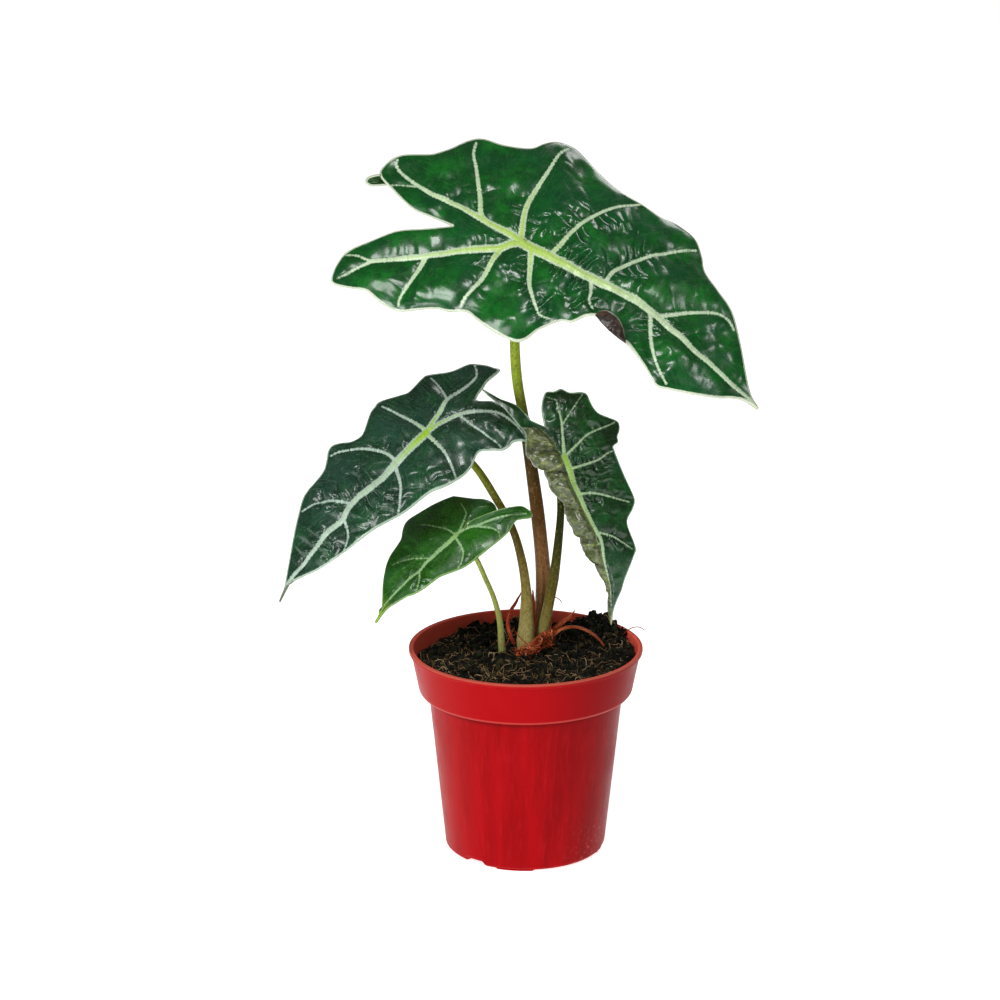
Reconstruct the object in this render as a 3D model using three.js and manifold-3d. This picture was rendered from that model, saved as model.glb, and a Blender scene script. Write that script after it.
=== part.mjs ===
// A potted alocasia: red nursery pot, soil, stem base with roots, four leaf stalks, four leaf blades and dry sheaths.
// Millimetres, +Z up, the onlooker's side is -Y. The origin is the centre of the pot's base.
import * as THREE from 'three';
import { TessellateModifier } from 'three/addons/modifiers/TessellateModifier.js';
import { mergeVertices } from 'three/addons/utils/BufferGeometryUtils.js';
import Module from 'manifold-3d';

const wasm = await Module();
wasm.setup();

// Driving dimensions.
const pot = {
  rimRadius: 60,
  height: 108,
  collarFoot: 85.2,
  collarFootRadius: 54.9,
  shoulderRadius: 49.8,
  baseRadius: 41.2,
  wall: 1.7,
  lipHeight: 1.8,
  lipStep: 1.2,
  lipWidth: 2.4,
  floorLift: 2.6,
  centrePadRadius: 12,
  footRadius: 38.2,
  footWidth: 2.8,
  facets: 48,
};
const feet = { count: 4, firstTurn: -98, spread: 28, relief: 0.8, reach: 3 };
const drain = {
  count: 3,
  firstTurn: -130,
  width: 11.5,
  height: 3.4,
  depth: 14,
  holes: 6,
  holeRadius: 4,
  holeCircle: 25,
  holeDepth: 12,
  facets: 12,
};
const soil = { level: 101.5, clearance: 0.3, rings: 6 };
const mounds = [
  { x: 38, y: 33, height: 8.5, spread: 10 },
  { x: 49, y: 10, height: 3.5, spread: 8 },
  { x: 8, y: 10, height: 2.5, spread: 18 },
  { x: 10, y: -38, height: 2, spread: 16 },
];
const corm = { x: 6, y: 9, bottom: 84, top: 107.5, radius: 10.5, sides: 18 };
const gap = 0.3;
const bladeThickness = 1;
const ruffleReach = 12;
const jointBend = 8;
const shortStep = 0.2;

// The upright plane that the leaves are laid out in, as an onlooker in front of the plant looks down on it a little.
// A place in it is how far right, how far up, and how near to the eye.
const outlook = { distance: 2093, tilt: THREE.MathUtils.degToRad(17.16), aimX: -13.1, aimZ: 186.4 };

function place(right, up, near) {
  const shrink = 1 - near / outlook.distance;
  const rise = Math.sin(outlook.tilt);
  const run = Math.cos(outlook.tilt);
  return new THREE.Vector3(
    outlook.aimX + shrink * right,
    shrink * up * rise - near * run,
    outlook.aimZ + shrink * up * run + near * rise,
  );
}

const lastOf = (list) => list[list.length - 1];

// A body from one point, through rings of equally many points, to another point.
function skin(start, rings, end) {
  const around = rings[0].length;
  const points = [start, ...rings.flat(), end];
  const index = [];
  const at = (ring, step) => 1 + ring * around + (step % around);
  for (let step = 0; step < around; step++) {
    index.push(0, at(0, step), at(0, step + 1));
    for (let ring = 0; ring + 1 < rings.length; ring++) {
      index.push(at(ring, step), at(ring + 1, step), at(ring + 1, step + 1));
      index.push(at(ring, step), at(ring + 1, step + 1), at(ring, step + 1));
    }
    index.push(at(rings.length - 1, step), points.length - 1, at(rings.length - 1, step + 1));
  }
  const geometry = new THREE.BufferGeometry().setFromPoints(points);
  geometry.setIndex(index);
  return geometry;
}

function solidOf(geometry) {
  const bare = geometry.clone();
  bare.deleteAttribute('normal');
  bare.deleteAttribute('uv');
  const merged = mergeVertices(bare);
  const vertProperties = merged.attributes.position.array;
  const triVerts = new Uint32Array(merged.index.array);
  return new wasm.Manifold(new wasm.Mesh({ numProp: 3, vertProperties, triVerts }));
}

function geometryOf(solid) {
  const { vertProperties, triVerts } = solid.getMesh();
  const geometry = new THREE.BufferGeometry();
  geometry.setAttribute('position', new THREE.BufferAttribute(vertProperties, 3));
  geometry.setIndex(new THREE.BufferAttribute(triVerts, 1));
  return geometry;
}

const cutAway = (geometry, ...tools) =>
  geometryOf(tools.reduce((left, tool) => left.subtract(solidOf(tool)), solidOf(geometry)));

// A stalk, root or dry sheath: an oval section carried along a smooth curve through its stations.
// A station is its place, its width across, and its thickness where that differs. The width lies square to facing.
// grow makes the copy that is larger all over, ends too, which clears its seat in the soil.
function stalk(stations, { sides = 10, steps = 18, facing = new THREE.Vector3(0, -1, 0), grow = 0 } = {}) {
  const curve = new THREE.CatmullRomCurve3(stations.map((station) => station[0]), false, 'centripetal');
  const rings = [];
  const centres = [];
  for (let step = 0; step <= steps; step++) {
    const along = (step / steps) * (stations.length - 1);
    const before = stations[Math.floor(along)];
    const after = stations[Math.ceil(along)];
    const blend = along - Math.floor(along);
    const wide = THREE.MathUtils.lerp(before[1], after[1], blend) / 2 + grow;
    const thick = THREE.MathUtils.lerp(before[2] ?? before[1], after[2] ?? after[1], blend) / 2 + grow;
    const heading = curve.getTangent(step / steps);
    const centre = curve.getPoint(step / steps).addScaledVector(heading, grow * ((step === steps) - (step === 0)));
    const across = new THREE.Vector3().crossVectors(facing, heading).normalize();
    const front = new THREE.Vector3().crossVectors(heading, across);
    const ring = [];
    for (let side = 0; side < sides; side++) {
      const turn = (2 * Math.PI * side) / sides;
      ring.push(
        centre.clone()
          .addScaledVector(across, wide * Math.cos(turn))
          .addScaledVector(front, thick * Math.sin(turn)),
      );
    }
    rings.push(ring.reverse());
    centres.push(centre);
  }
  return skin(centres[0], rings, lastOf(centres));
}

// Leaf blades. An edge runs clockwise, as the onlooker sees it, from the cleft between the back lobes to the tip and
// back. slope and droop shape the blade along the midrib and across it; ruffle waves its margin.
const mainLeaf = {
  stalkTop: 5,
  joint: [11, 131, 27],
  slope: [0.37, -0.53],
  droop: [0.0012, 0.004],
  ruffle: { waves: 9, size: 1.6 },
  around: 76,
  longestEdge: 11,
  toTip: [
    [-24, 139], [-34.8, 143.4], [-43.6, 147.2], [-51, 153.7], [-57, 159.1], [-63, 161.3], [-67, 163], [-64.3, 164.8],
    [-61.2, 166], [-59.9, 168.8], [-56, 172.2], [-52.4, 174.1], [-48, 175.2], [-36, 175.4], [-31.7, 176.2],
    [-25.4, 178.2], [-16, 182.3], [-8.5, 183.2], [2.8, 179.9], [15.4, 178.4], [22.3, 180.7], [29, 181.6], [37, 178.9],
    [42.7, 174], [50.7, 165.3], [60.3, 157], [72.3, 150], [81.2, 143.7], [90, 139.5], [98.8, 132.5], [102.4, 123.7],
    [104, 115.7], [110.8, 106], [117.6, 95.7], [122, 79.6], [125.6, 60.4], [127.6, 53], [131.2, 46.8],
  ],
  fromTip: [
    [131.2, 46.8], [123.6, 51], [116.4, 52], [110.8, 52], [98.8, 53.6], [86.7, 56], [81, 57.2], [78, 59.6],
    [73.5, 67.6], [66.7, 78], [62.9, 83.6], [60.5, 91.5], [55.5, 95.6], [49.5, 95], [43.5, 93], [36.3, 90.4],
    [30.3, 91], [20, 86.8], [13.5, 82], [8.5, 80.7], [2.8, 82.6], [-4.7, 86.7], [-11.6, 91.7], [-17.3, 95.8],
    [-25.4, 95.8], [-32.3, 97], [-40, 96.7], [-51.7, 96], [-60, 100], [-67.4, 106], [-75.6, 107.5], [-83.7, 109.2],
    [-85.6, 112.3], [-82.5, 120], [-76.8, 126.5], [-64.3, 132], [-52.4, 136.5], [-38, 137.7], [-24, 139],
  ],
};

const leftLeaf = {
  stalkTop: 3.8,
  joint: [-37, 33.5, 8],
  slope: [0.4, 0.7],
  droop: [0.003, 0.007],
  ruffle: { waves: 8, size: 1.2 },
  around: 60,
  longestEdge: 9.5,
  toTip: [
    [-12.4, 51.2], [-10.2, 50.3], [-4.3, 50.2], [0, 48.7], [3.7, 46], [8, 40.8], [12.5, 35], [14.7, 30.6], [9, 30.2],
    [6, 29.2], [4.5, 27.4], [0.8, 25.5], [-5, 25.4], [-11, 24.3], [-14.6, 17.3], [-18.3, 13], [-23.4, 9.6],
    [-28.5, 7], [-34.4, 4.8], [-39.5, 1.2], [-44.7, -3.2], [-50.5, -7.3], [-58, -11.3], [-65.2, -15.4],
    [-72.5, -21], [-79, -26], [-85.8, -31], [-93, -35.5], [-100.4, -38.8], [-105.6, -41.4], [-108.8, -44.8],
    [-112.2, -51.3],
  ],
  fromTip: [
    [-112.2, -51.3], [-109.6, -45], [-108.2, -37.7], [-105.6, -23], [-103.4, -12], [-100.4, -0.3], [-97.5, 4.8],
    [-93, 10], [-89.4, 15], [-88, 20.3], [-87.2, 24.7], [-85, 27.6], [-80.6, 29], [-75.5, 29.6], [-71, 32],
    [-69, 35], [-66, 43.7], [-63.7, 47], [-60.8, 50], [-50.5, 53.2], [-46, 55], [-39.5, 61.7], [-36, 63.5],
    [-25, 65.2], [-16, 68.8], [-11, 68.8], [-6.5, 68.2], [-3, 67], [-0.3, 65.8], [-6.5, 60.4], [-8.4, 57.5],
    [-11, 54], [-12.4, 51.2],
  ],
};

const smallLeaf = {
  stalkTop: 2.6,
  joint: [-22, -17.5, 5],
  slope: [0.3, 0.7],
  droop: [0.004, 0.012],
  ruffle: { waves: 7, size: 0.7 },
  around: 48,
  longestEdge: 7.5,
  toTip: [
    [-1, -4.4], [2.2, -4.1], [6.7, -3.3], [10.8, -3], [13.5, -4.2], [15.8, -6], [16.3, -7.8], [15, -9],
    [11.3, -9.5], [8.5, -10.2], [6.7, -12], [4, -16], [0, -19.6], [-4.6, -23.2], [-11.4, -28.7], [-16, -32.3],
    [-20.5, -34.8], [-29.6, -38.2], [-34, -41], [-38.7, -44.6], [-43.2, -47.3], [-47.7, -49], [-52.3, -51.8],
    [-56.8, -54.6], [-60, -57.9], [-63.2, -62.2],
  ],
  fromTip: [
    [-63.2, -62.2], [-61.4, -57.5], [-60, -54.5], [-59.5, -43], [-58.6, -36.8], [-57.5, -32.3], [-55.5, -27.8],
    [-52.3, -23.2], [-50.2, -19.6], [-49.6, -16], [-48.4, -12.3], [-46, -9.6], [-41.8, -6.9], [-33.2, -1.9],
    [-25, 1.6], [-22.3, 1.9], [-13.7, 0.8], [-9.2, 0.6], [-5.5, -0.3], [-2.8, -2.1], [-1, -4.4],
  ],
};

// The right leaf's left half is folded back over a crest line; its left back lobe points up as a narrow spike.
const rightLeaf = {
  stalkTop: 3.8,
  joint: [32.6, 22, 14],
  slope: [0.15, -0.25],
  droop: [0.002, 0.004],
  ruffle: { waves: 7, size: 0.8 },
  around: 64,
  longestEdge: 6.5,
  crest: { line: [[15.2, 30.4], [54.8, -43.1], [55.4, -70]], radius: 6.5, turn: 2.4, startsBelow: 28, fullBelow: 12 },
  toTip: [
    [22.7, 37.2], [21.3, 44.3], [21.4, 49.2], [22.7, 53.5], [24.2, 54.8], [27.6, 54.9], [31.2, 56.2], [35.4, 54.3],
    [41, 54.5], [44, 53.4], [46, 49.2], [48.2, 45.7], [51, 43.5], [58.8, 40.4], [60.5, 38.2], [60.5, 35],
    [59.5, 32.2], [59.8, 29.4], [57.5, 27.3], [58, 24.8], [62.3, 14], [67.6, 2.5], [68.3, -1], [67.3, -4.5],
    [64.8, -9.5], [65, -13.7], [68.7, -23.6], [68, -28], [63.4, -40], [61.6, -46], [58, -54], [54.9, -63.2],
  ],
  fromTip: [
    [54.9, -63.2], [49, -55], [43, -46], [34, -36], [25, -24], [18, -12], [13, -1], [11.5, 8], [12, 18], [13, 26],
    [13, 32.5], [9, 38.4], [5.5, 42.8], [1.6, 47], [-5.6, 52.5], [-9.5, 56.6], [-4.6, 54], [0, 51.4], [4.3, 49.8],
    [8.5, 47.9], [12, 44.6], [15, 41], [19.2, 38.8], [22.7, 37.2],
  ],
};

// The way out of a crest line's stretch, square to it, and how far a point lies past the stretch.
function pastStretch(from, to, right, up) {
  const outward = new THREE.Vector2(to[1] - from[1], from[0] - to[0]).normalize();
  return { outward, reach: (right - from[0]) * outward.x + (up - from[1]) * outward.y };
}

// Points past the crest are laid back round it: an arc first, then straight on.
function foldBack([right, up, near], crest) {
  const [top, knee, foot] = crest.line;
  const upper = pastStretch(top, knee, right, up);
  const lower = pastStretch(knee, foot, right, up);
  const { outward, reach } = upper.reach < lower.reach ? upper : lower;
  const past = Math.max(0, reach + crest.radius);
  const turned = Math.min(past / crest.radius, crest.turn);
  const straight = past - turned * crest.radius;
  const folded = crest.radius * Math.sin(turned) + straight * Math.cos(turned) - past;
  const deep = crest.radius * (1 - Math.cos(turned)) + straight * Math.sin(turned);
  const strength = 1 - THREE.MathUtils.smoothstep(up, crest.fullBelow, crest.startsBelow);
  return [right + folded * strength * outward.x, up + folded * strength * outward.y, near - deep * strength];
}

// How near the eye a blade's middle lies: a slope and a droop, along its midrib and across it.
function leanOf(leaf, right, up) {
  const [jointRight, jointUp, jointNear] = leaf.joint;
  const tip = lastOf(leaf.toTip);
  const midrib = new THREE.Vector2(tip[0] - jointRight, tip[1] - jointUp).normalize();
  const fromJoint = new THREE.Vector2(right - jointRight, up - jointUp);
  const along = fromJoint.dot(midrib);
  const across = midrib.cross(fromJoint);
  const leaning = leaf.slope[0] * along + leaf.slope[1] * across;
  const drooping = leaf.droop[0] * along ** 2 + leaf.droop[1] * across ** 2;
  return jointNear + leaning - drooping;
}

// A point of a blade's face, by its place in the outline. lift brings it nearer to the eye.
function bladePoint(leaf, right, up, lift = 0) {
  const spot = [right, up, leanOf(leaf, right, up) + lift];
  return place(...(leaf.crest ? foldBack(spot, leaf.crest) : spot));
}

// The way a blade faces there: a short step to the right and one upwards, crossed.
function squareOf(leaf, right, up) {
  const here = bladePoint(leaf, right, up);
  const aside = bladePoint(leaf, right + shortStep, up).sub(here);
  const above = bladePoint(leaf, right, up + shortStep).sub(here);
  return aside.cross(above).normalize();
}

// The margin's points, turned to run anticlockwise so that the blade faces the onlooker.
function marginOf(leaf) {
  const half = leaf.around / 2;
  const edges = [leaf.toTip, leaf.fromTip].flatMap((edge) => {
    const curve = new THREE.SplineCurve(edge.map(([right, up]) => new THREE.Vector2(right, up)));
    return curve.getSpacedPoints(half).slice(0, half);
  });
  return edges.reverse().map((point) => new THREE.Vector3(point.x, point.y, 0));
}

// How far in from the margin a point lies, and the share of the way round where the margin is nearest.
function nearestMargin(margin, point) {
  let nearest = { rim: Infinity };
  margin.forEach((from, step) => {
    const stretch = new THREE.Line3(from, margin[(step + 1) % margin.length]);
    const part = stretch.closestPointToPointParameter(point, true);
    const rim = stretch.at(part, new THREE.Vector3()).distanceTo(point);
    if (rim < nearest.rim) nearest = { rim, round: (step + part) / margin.length };
  });
  return nearest;
}

// The outline as a thin plate in small triangles, then bent: a point goes to its place on the blade's face, or in
// from the face by its depth. The margin's wave dies away inwards.
function bladeBody(leaf) {
  const margin = marginOf(leaf);
  const plate = new THREE.ExtrudeGeometry(new THREE.Shape(margin), { depth: bladeThickness, bevelEnabled: false });
  plate.deleteAttribute('normal');
  plate.deleteAttribute('uv');
  const body = mergeVertices(new TessellateModifier(leaf.longestEdge, 12).modify(plate), 0.001);
  const places = body.attributes.position;
  for (let vertex = 0; vertex < places.count; vertex++) {
    const right = places.getX(vertex);
    const up = places.getY(vertex);
    const depth = bladeThickness - places.getZ(vertex);
    const { rim, round } = nearestMargin(margin, new THREE.Vector3(right, up, 0));
    const strength = Math.max(0, 1 - rim / ruffleReach) ** 2;
    const wave = leaf.ruffle.size * strength * Math.sin(2 * Math.PI * leaf.ruffle.waves * round);
    const point = bladePoint(leaf, right, up, wave).addScaledVector(squareOf(leaf, right, up), -depth);
    places.setXYZ(vertex, point.x, point.y, point.z);
  }
  const [right, up] = leaf.joint;
  const joint = bladePoint(leaf, right, up);
  const square = squareOf(leaf, right, up);
  const behind = (depth) => joint.clone().addScaledVector(square, -depth);
  return { body, seat: behind(bladeThickness + gap), approach: behind(jointBend) };
}

// Leaf stalks, from the stem base up; each goes on to just under its blade's joint and meets the blade square on.
const stalkStations = {
  main: [
    [place(20, -78, -37), 7], [place(20.7, -68, -36), 7.4], [place(21.5, -50, -30), 7.2],
    [place(22, -40, -26.5), 7.8], [place(21.5, -30, -23), 7.4], [place(19.5, -10, -16), 7.1],
    [place(16.9, 10, -10), 6.7], [place(12, 42, 0), 5.2], [place(8.8, 60, 5.5), 5.2], [place(7.4, 81, 11), 5.1],
    [place(8.5, 110, 16.5), 5],
  ],
  left: [
    [place(13.6, -80, -26), 8.6], [place(13.2, -71, -24.5), 9.6], [place(13.5, -60, -22.5), 7.2],
    [place(13.2, -45, -18), 5.1], [place(10.9, -30, -13.5), 4.4], [place(6.5, -15, -9.5), 3.9],
    [place(-1.6, 0, -6.5), 4], [place(-13.3, 17.6, -4.5), 3.8], [place(-25, 27, -7), 3.8],
  ],
  small: [
    [new THREE.Vector3(1, 8, 96.5), 3.4], [new THREE.Vector3(-6, 7, 96.5), 3.6],
    [new THREE.Vector3(-11, 4.8, 99.6), 3.7], [place(1, -75, -27), 3.9], [place(0, -62, -21.5), 3.1],
    [place(-3, -50, -16), 2.6], [place(-7.3, -40, -11.5), 2.6], [place(-12, -30, -8), 2.6],
    [place(-16.8, -23.5, -6.5), 2.6],
  ],
  right: [
    [place(21.2, -79, -30), 5.4], [place(22, -66.5, -28), 6.2], [place(24.3, -54.7, -23.5), 5.5],
    [place(27.2, -40, -18.5), 5.3], [place(29.7, -20, -14), 4.3], [place(30.8, -5, -12), 3.8],
    [place(30.4, 7, -11), 3.8], [place(30.2, 15, -5), 3.8],
  ],
};

// The pot is turned in one piece, then the drain slots and holes are cut out.
function potProfile() {
  const { rimRadius, height, baseRadius, shoulderRadius, collarFoot, collarFootRadius, wall, floorLift } = pot;
  const footIn = pot.footRadius - pot.footWidth / 2;
  const footOut = pot.footRadius + pot.footWidth / 2;
  const shoulder = collarFoot - 1.6;
  return [
    [0, 0], [pot.centrePadRadius, 0], [pot.centrePadRadius + 1.5, floorLift], [footIn - 0.5, floorLift], [footIn, 0],
    [footOut, 0], [footOut + 0.2, 1.3], [baseRadius - 0.5, 1.6], [baseRadius, 2.4], [shoulderRadius, shoulder],
    [collarFootRadius - 1, collarFoot - 0.4], [collarFootRadius, collarFoot + 0.8],
    [rimRadius - pot.lipStep, height - pot.lipHeight - 0.6], [rimRadius, height - pot.lipHeight],
    [rimRadius, height - 0.3], [rimRadius - 0.4, height], [rimRadius - pot.lipWidth + 0.3, height],
    [rimRadius - pot.lipWidth, height - 0.4], [collarFootRadius - wall - 0.2, collarFoot + 1.2],
    [shoulderRadius - wall, shoulder - 1], [baseRadius - wall, floorLift + wall + 0.8],
    [baseRadius - wall - 0.8, floorLift + wall], [0, floorLift + wall],
  ];
}

// The pot's inner radius at a height, read off the inner side of its profile.
function innerRadius(height) {
  const inside = potProfile().slice(17, 22);
  const above = inside.findLast((point) => point[1] >= height);
  const below = inside.find((point) => point[1] < height);
  return THREE.MathUtils.mapLinear(height, below[1], above[1], below[0], above[0]);
}

const turned = (profile, facets) =>
  new THREE.LatheGeometry(profile.map(([radius, height]) => new THREE.Vector2(radius, height)), facets)
    .rotateX(Math.PI / 2);

function turnedAbout(geometry, distance, degrees, height) {
  return geometry.translate(distance, 0, height).rotateZ(THREE.MathUtils.degToRad(degrees));
}

function potBody() {
  const cuts = [];
  for (let slot = 0; slot < drain.count; slot++) {
    const box = new THREE.BoxGeometry(drain.depth, drain.width, 2 * drain.height);
    cuts.push(turnedAbout(box, pot.baseRadius, drain.firstTurn + (slot * 360) / drain.count, 0));
  }
  for (let hole = 0; hole < drain.holes; hole++) {
    const bore = new THREE.CylinderGeometry(drain.holeRadius, drain.holeRadius, drain.holeDepth, drain.facets);
    cuts.push(turnedAbout(bore.rotateX(Math.PI / 2), drain.holeCircle, (hole * 360) / drain.holes, pot.floorLift));
  }
  const between = 360 / feet.count - feet.spread;
  for (let foot = 0; foot < feet.count; foot++) {
    const start = THREE.MathUtils.degToRad(feet.firstTurn + feet.spread / 2 + (foot * 360) / feet.count);
    const sweep = THREE.MathUtils.degToRad(between);
    const relief = new THREE.Shape();
    relief.absarc(0, 0, pot.footRadius + feet.reach, start, start + sweep, false);
    relief.absarc(0, 0, pot.footRadius - feet.reach, start + sweep, start, true);
    const slab = new THREE.ExtrudeGeometry(relief, { depth: 2 * feet.relief, bevelEnabled: false, curveSegments: 8 });
    cuts.push(slab.translate(0, 0, -feet.relief));
  }
  return cutAway(turned(potProfile(), pot.facets), ...cuts);
}

function soilHeight(x, y) {
  const heap = mounds.reduce((sum, mound) => {
    const away = ((x - mound.x) ** 2 + (y - mound.y) ** 2) / (2 * mound.spread ** 2);
    return sum + mound.height * Math.exp(-away);
  }, 0);
  return soil.level + heap + 0.5 * Math.sin(x * 0.45) * Math.cos(y * 0.4);
}

function soilBody(...guests) {
  const ring = (radius, height) =>
    Array.from({ length: pot.facets }, (_, step) => {
      const turn = -(2 * Math.PI * step) / pot.facets;
      const x = radius * Math.cos(turn);
      const y = radius * Math.sin(turn);
      return new THREE.Vector3(x, y, height ?? soilHeight(x, y));
    });
  const bottom = pot.floorLift + pot.wall + soil.clearance;
  const shoulder = pot.collarFoot - 2.6;
  const collar = pot.collarFoot + 1.2;
  const rings = [
    ring(pot.baseRadius - pot.wall - 1.2, bottom),
    ring(innerRadius(bottom + 1) - soil.clearance - 0.1, bottom + 1),
    ring(innerRadius(shoulder) - soil.clearance - 0.1, shoulder),
    ring(innerRadius(collar) - soil.clearance - 0.1, collar),
  ];
  const topRadius = innerRadius(soil.level) - soil.clearance - 0.1;
  for (let step = soil.rings; step > 0; step--) rings.push(ring((topRadius * step) / soil.rings));
  const body = skin(new THREE.Vector3(0, 0, bottom), rings, new THREE.Vector3(0, 0, soilHeight(0, 0)));
  return cutAway(body, ...guests);
}

// The stem base is egg-shaped; grow makes the larger copy that clears its seat in the soil.
function cormBody(grow = 0) {
  const middle = (corm.bottom + corm.top) / 2;
  const half = (corm.top - corm.bottom) / 2 + grow;
  const profile = [];
  for (let step = 0; step <= 8; step++) {
    const turn = -Math.PI / 2 + (Math.PI * step) / 8;
    profile.push([Math.max(0, (corm.radius + grow) * Math.cos(turn)), middle + half * Math.sin(turn)]);
  }
  profile[0][0] = 0;
  profile[8][0] = 0;
  return turned(profile, corm.sides).translate(corm.x, corm.y, 0);
}

// Roots leave the stem base all round, run out and down, and thin to their ends.
const rootRuns = [
  { turn: 10, reach: 30, drop: 62, width: 2.6 },
  { turn: 68, reach: 22, drop: 70, width: 2.4 },
  { turn: 130, reach: 30, drop: 55, width: 2.6 },
  { turn: 190, reach: 34, drop: 66, width: 2.8 },
  { turn: 250, reach: 36, drop: 58, width: 2.4 },
  { turn: 305, reach: 34, drop: 72, width: 2.6 },
];

function rootStations({ turn, reach, drop, width }) {
  const from = corm.bottom + 8;
  const run = [[0.1, 0, 1], [0.42, 0.06, 1], [0.7, 0.26, 0.9], [0.85, 0.6, 0.75], [1, 1, 0.45]];
  return run.map(([out, down, taper], step) => {
    const angle = THREE.MathUtils.degToRad(turn + 9 * step);
    const x = corm.x + reach * out * Math.cos(angle);
    const y = corm.y + reach * out * Math.sin(angle);
    return [new THREE.Vector3(x, y, from - drop * down), width * taper];
  });
}

// Dry sheaths. Each has its stations, width and thickness, and the way its flat side faces.
const upward = new THREE.Vector3(0, 0, 1);
const sheaths = {
  crown_sheath: {
    facing: new THREE.Vector3(0.5, -0.85, 0.2),
    stations: [
      [place(8.5, -77.5, -22), 1.5, 1.2], [place(13, -78, -19.5), 4, 1.6], [place(18.5, -74.5, -19.5), 8, 1.8],
      [place(23, -70.5, -21.5), 7.5, 1.8], [place(26.5, -68.5, -25), 4, 1.4],
    ],
  },
  arching_sheath: {
    facing: upward,
    stations: [
      [place(25.6, -76, -32), 2.4, 1.2], [place(27.6, -69, -28.6), 3.2, 1.2], [place(31.5, -65.3, -27.5), 3.4, 1.2],
      [place(38.5, -64.4, -27), 3.4, 1.1], [place(45.5, -67, -26.5), 3, 1], [place(50, -70.5, -26), 2.2, 0.9],
      [place(52.8, -74, -25.5), 1, 0.7],
    ],
  },
  pointed_sheath: {
    facing: new THREE.Vector3(0, -1, 0.3),
    stations: [
      [place(25.2, -75, -35), 2.2, 1], [place(27.6, -66.5, -32.4), 2.6, 1], [place(31, -62.4, -32), 2.2, 0.9],
      [place(35, -59.4, -31.5), 1.4, 0.8], [place(38, -56, -31), 0.7, 0.6],
    ],
  },
  thin_sheath: {
    facing: new THREE.Vector3(0, -1, 0.2),
    stations: [
      [place(8, -75, -35), 1.6, 0.9], [place(4.2, -65, -36), 1.6, 0.9], [place(4.6, -58, -36), 1.8, 0.9],
      [place(8, -52, -35), 1.6, 0.8], [place(11, -46.5, -34.5), 0.8, 0.7],
    ],
  },
  dry_strip: {
    facing: new THREE.Vector3(0, -1, 0.2),
    stations: [
      [place(17.4, -74, -31.6), 1.1, 0.7], [place(17.2, -62, -29.3), 1.6, 0.7], [place(17, -52, -26.2), 1.4, 0.7],
      [place(16.6, -45.5, -24.2), 0.8, 0.7],
    ],
  },
};

const colours = {
  pot: new THREE.MeshStandardMaterial({ color: 0xb81a20, roughness: 0.4 }),
  soil: new THREE.MeshStandardMaterial({ color: 0x1c1812, roughness: 1 }),
  corm: new THREE.MeshStandardMaterial({ color: 0x8a6a48, roughness: 0.8 }),
  stalk: new THREE.MeshStandardMaterial({ color: 0x7f8a38, roughness: 0.45 }),
  brownStalk: new THREE.MeshStandardMaterial({ color: 0x7d553c, roughness: 0.5 }),
  blade: new THREE.MeshStandardMaterial({ color: 0x0f4a24, roughness: 0.3 }),
  sheath: new THREE.MeshStandardMaterial({ color: 0xb04a2c, roughness: 0.8 }),
  root: new THREE.MeshStandardMaterial({ color: 0xd8c8a8, roughness: 0.7 }),
};

const plant = new THREE.Group();

function add(name, geometry, material) {
  const mesh = new THREE.Mesh(geometry, material);
  mesh.name = name;
  plant.add(mesh);
}

const leaves = { main: mainLeaf, left: leftLeaf, small: smallLeaf, right: rightLeaf };
const soilGuests = [cormBody(soil.clearance)];
for (const [name, leaf] of Object.entries(leaves)) {
  const { body, seat, approach } = bladeBody(leaf);
  const stations = [...stalkStations[name], [approach, leaf.stalkTop], [seat, leaf.stalkTop]];
  add(`${name}_blade`, body, colours.blade);
  add(`${name}_stem`, cutAway(stalk(stations), cormBody(gap)), name === 'main' ? colours.brownStalk : colours.stalk);
  soilGuests.push(stalk(stations, { grow: soil.clearance }));
}
for (const [name, { stations, facing }] of Object.entries(sheaths)) {
  add(name, cutAway(stalk(stations, { sides: 8, steps: 10, facing }), cormBody(gap)), colours.sheath);
  soilGuests.push(stalk(stations, { sides: 8, steps: 10, facing, grow: soil.clearance }));
}
rootRuns.forEach((run, step) => {
  const shape = { sides: 6, steps: 8, facing: upward };
  add(`root_${step + 1}`, cutAway(stalk(rootStations(run), shape), cormBody(gap)), colours.root);
  soilGuests.push(stalk(rootStations(run), { ...shape, grow: soil.clearance }));
});
add('corm', cormBody(), colours.corm);
add('soil', soilBody(...soilGuests), colours.soil);
add('pot', potBody(), colours.pot);

export default plant;
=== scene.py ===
import itertools
import math

import bpy
import numpy as np
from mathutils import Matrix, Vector


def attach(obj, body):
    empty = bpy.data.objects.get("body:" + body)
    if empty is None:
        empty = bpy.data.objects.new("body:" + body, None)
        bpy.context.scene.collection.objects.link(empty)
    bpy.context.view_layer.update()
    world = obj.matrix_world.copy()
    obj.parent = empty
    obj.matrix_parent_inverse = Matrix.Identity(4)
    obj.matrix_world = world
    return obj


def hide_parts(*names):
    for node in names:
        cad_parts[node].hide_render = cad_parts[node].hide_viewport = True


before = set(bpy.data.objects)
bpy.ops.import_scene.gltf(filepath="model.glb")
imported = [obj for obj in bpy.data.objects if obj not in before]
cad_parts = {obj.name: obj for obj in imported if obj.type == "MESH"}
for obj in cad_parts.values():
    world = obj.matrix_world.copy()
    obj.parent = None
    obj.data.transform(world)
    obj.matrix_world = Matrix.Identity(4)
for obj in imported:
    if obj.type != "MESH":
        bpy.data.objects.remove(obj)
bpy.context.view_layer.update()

metre = 0.001  # every size below is in millimetres
diceOf = np.random.default_rng

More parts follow.
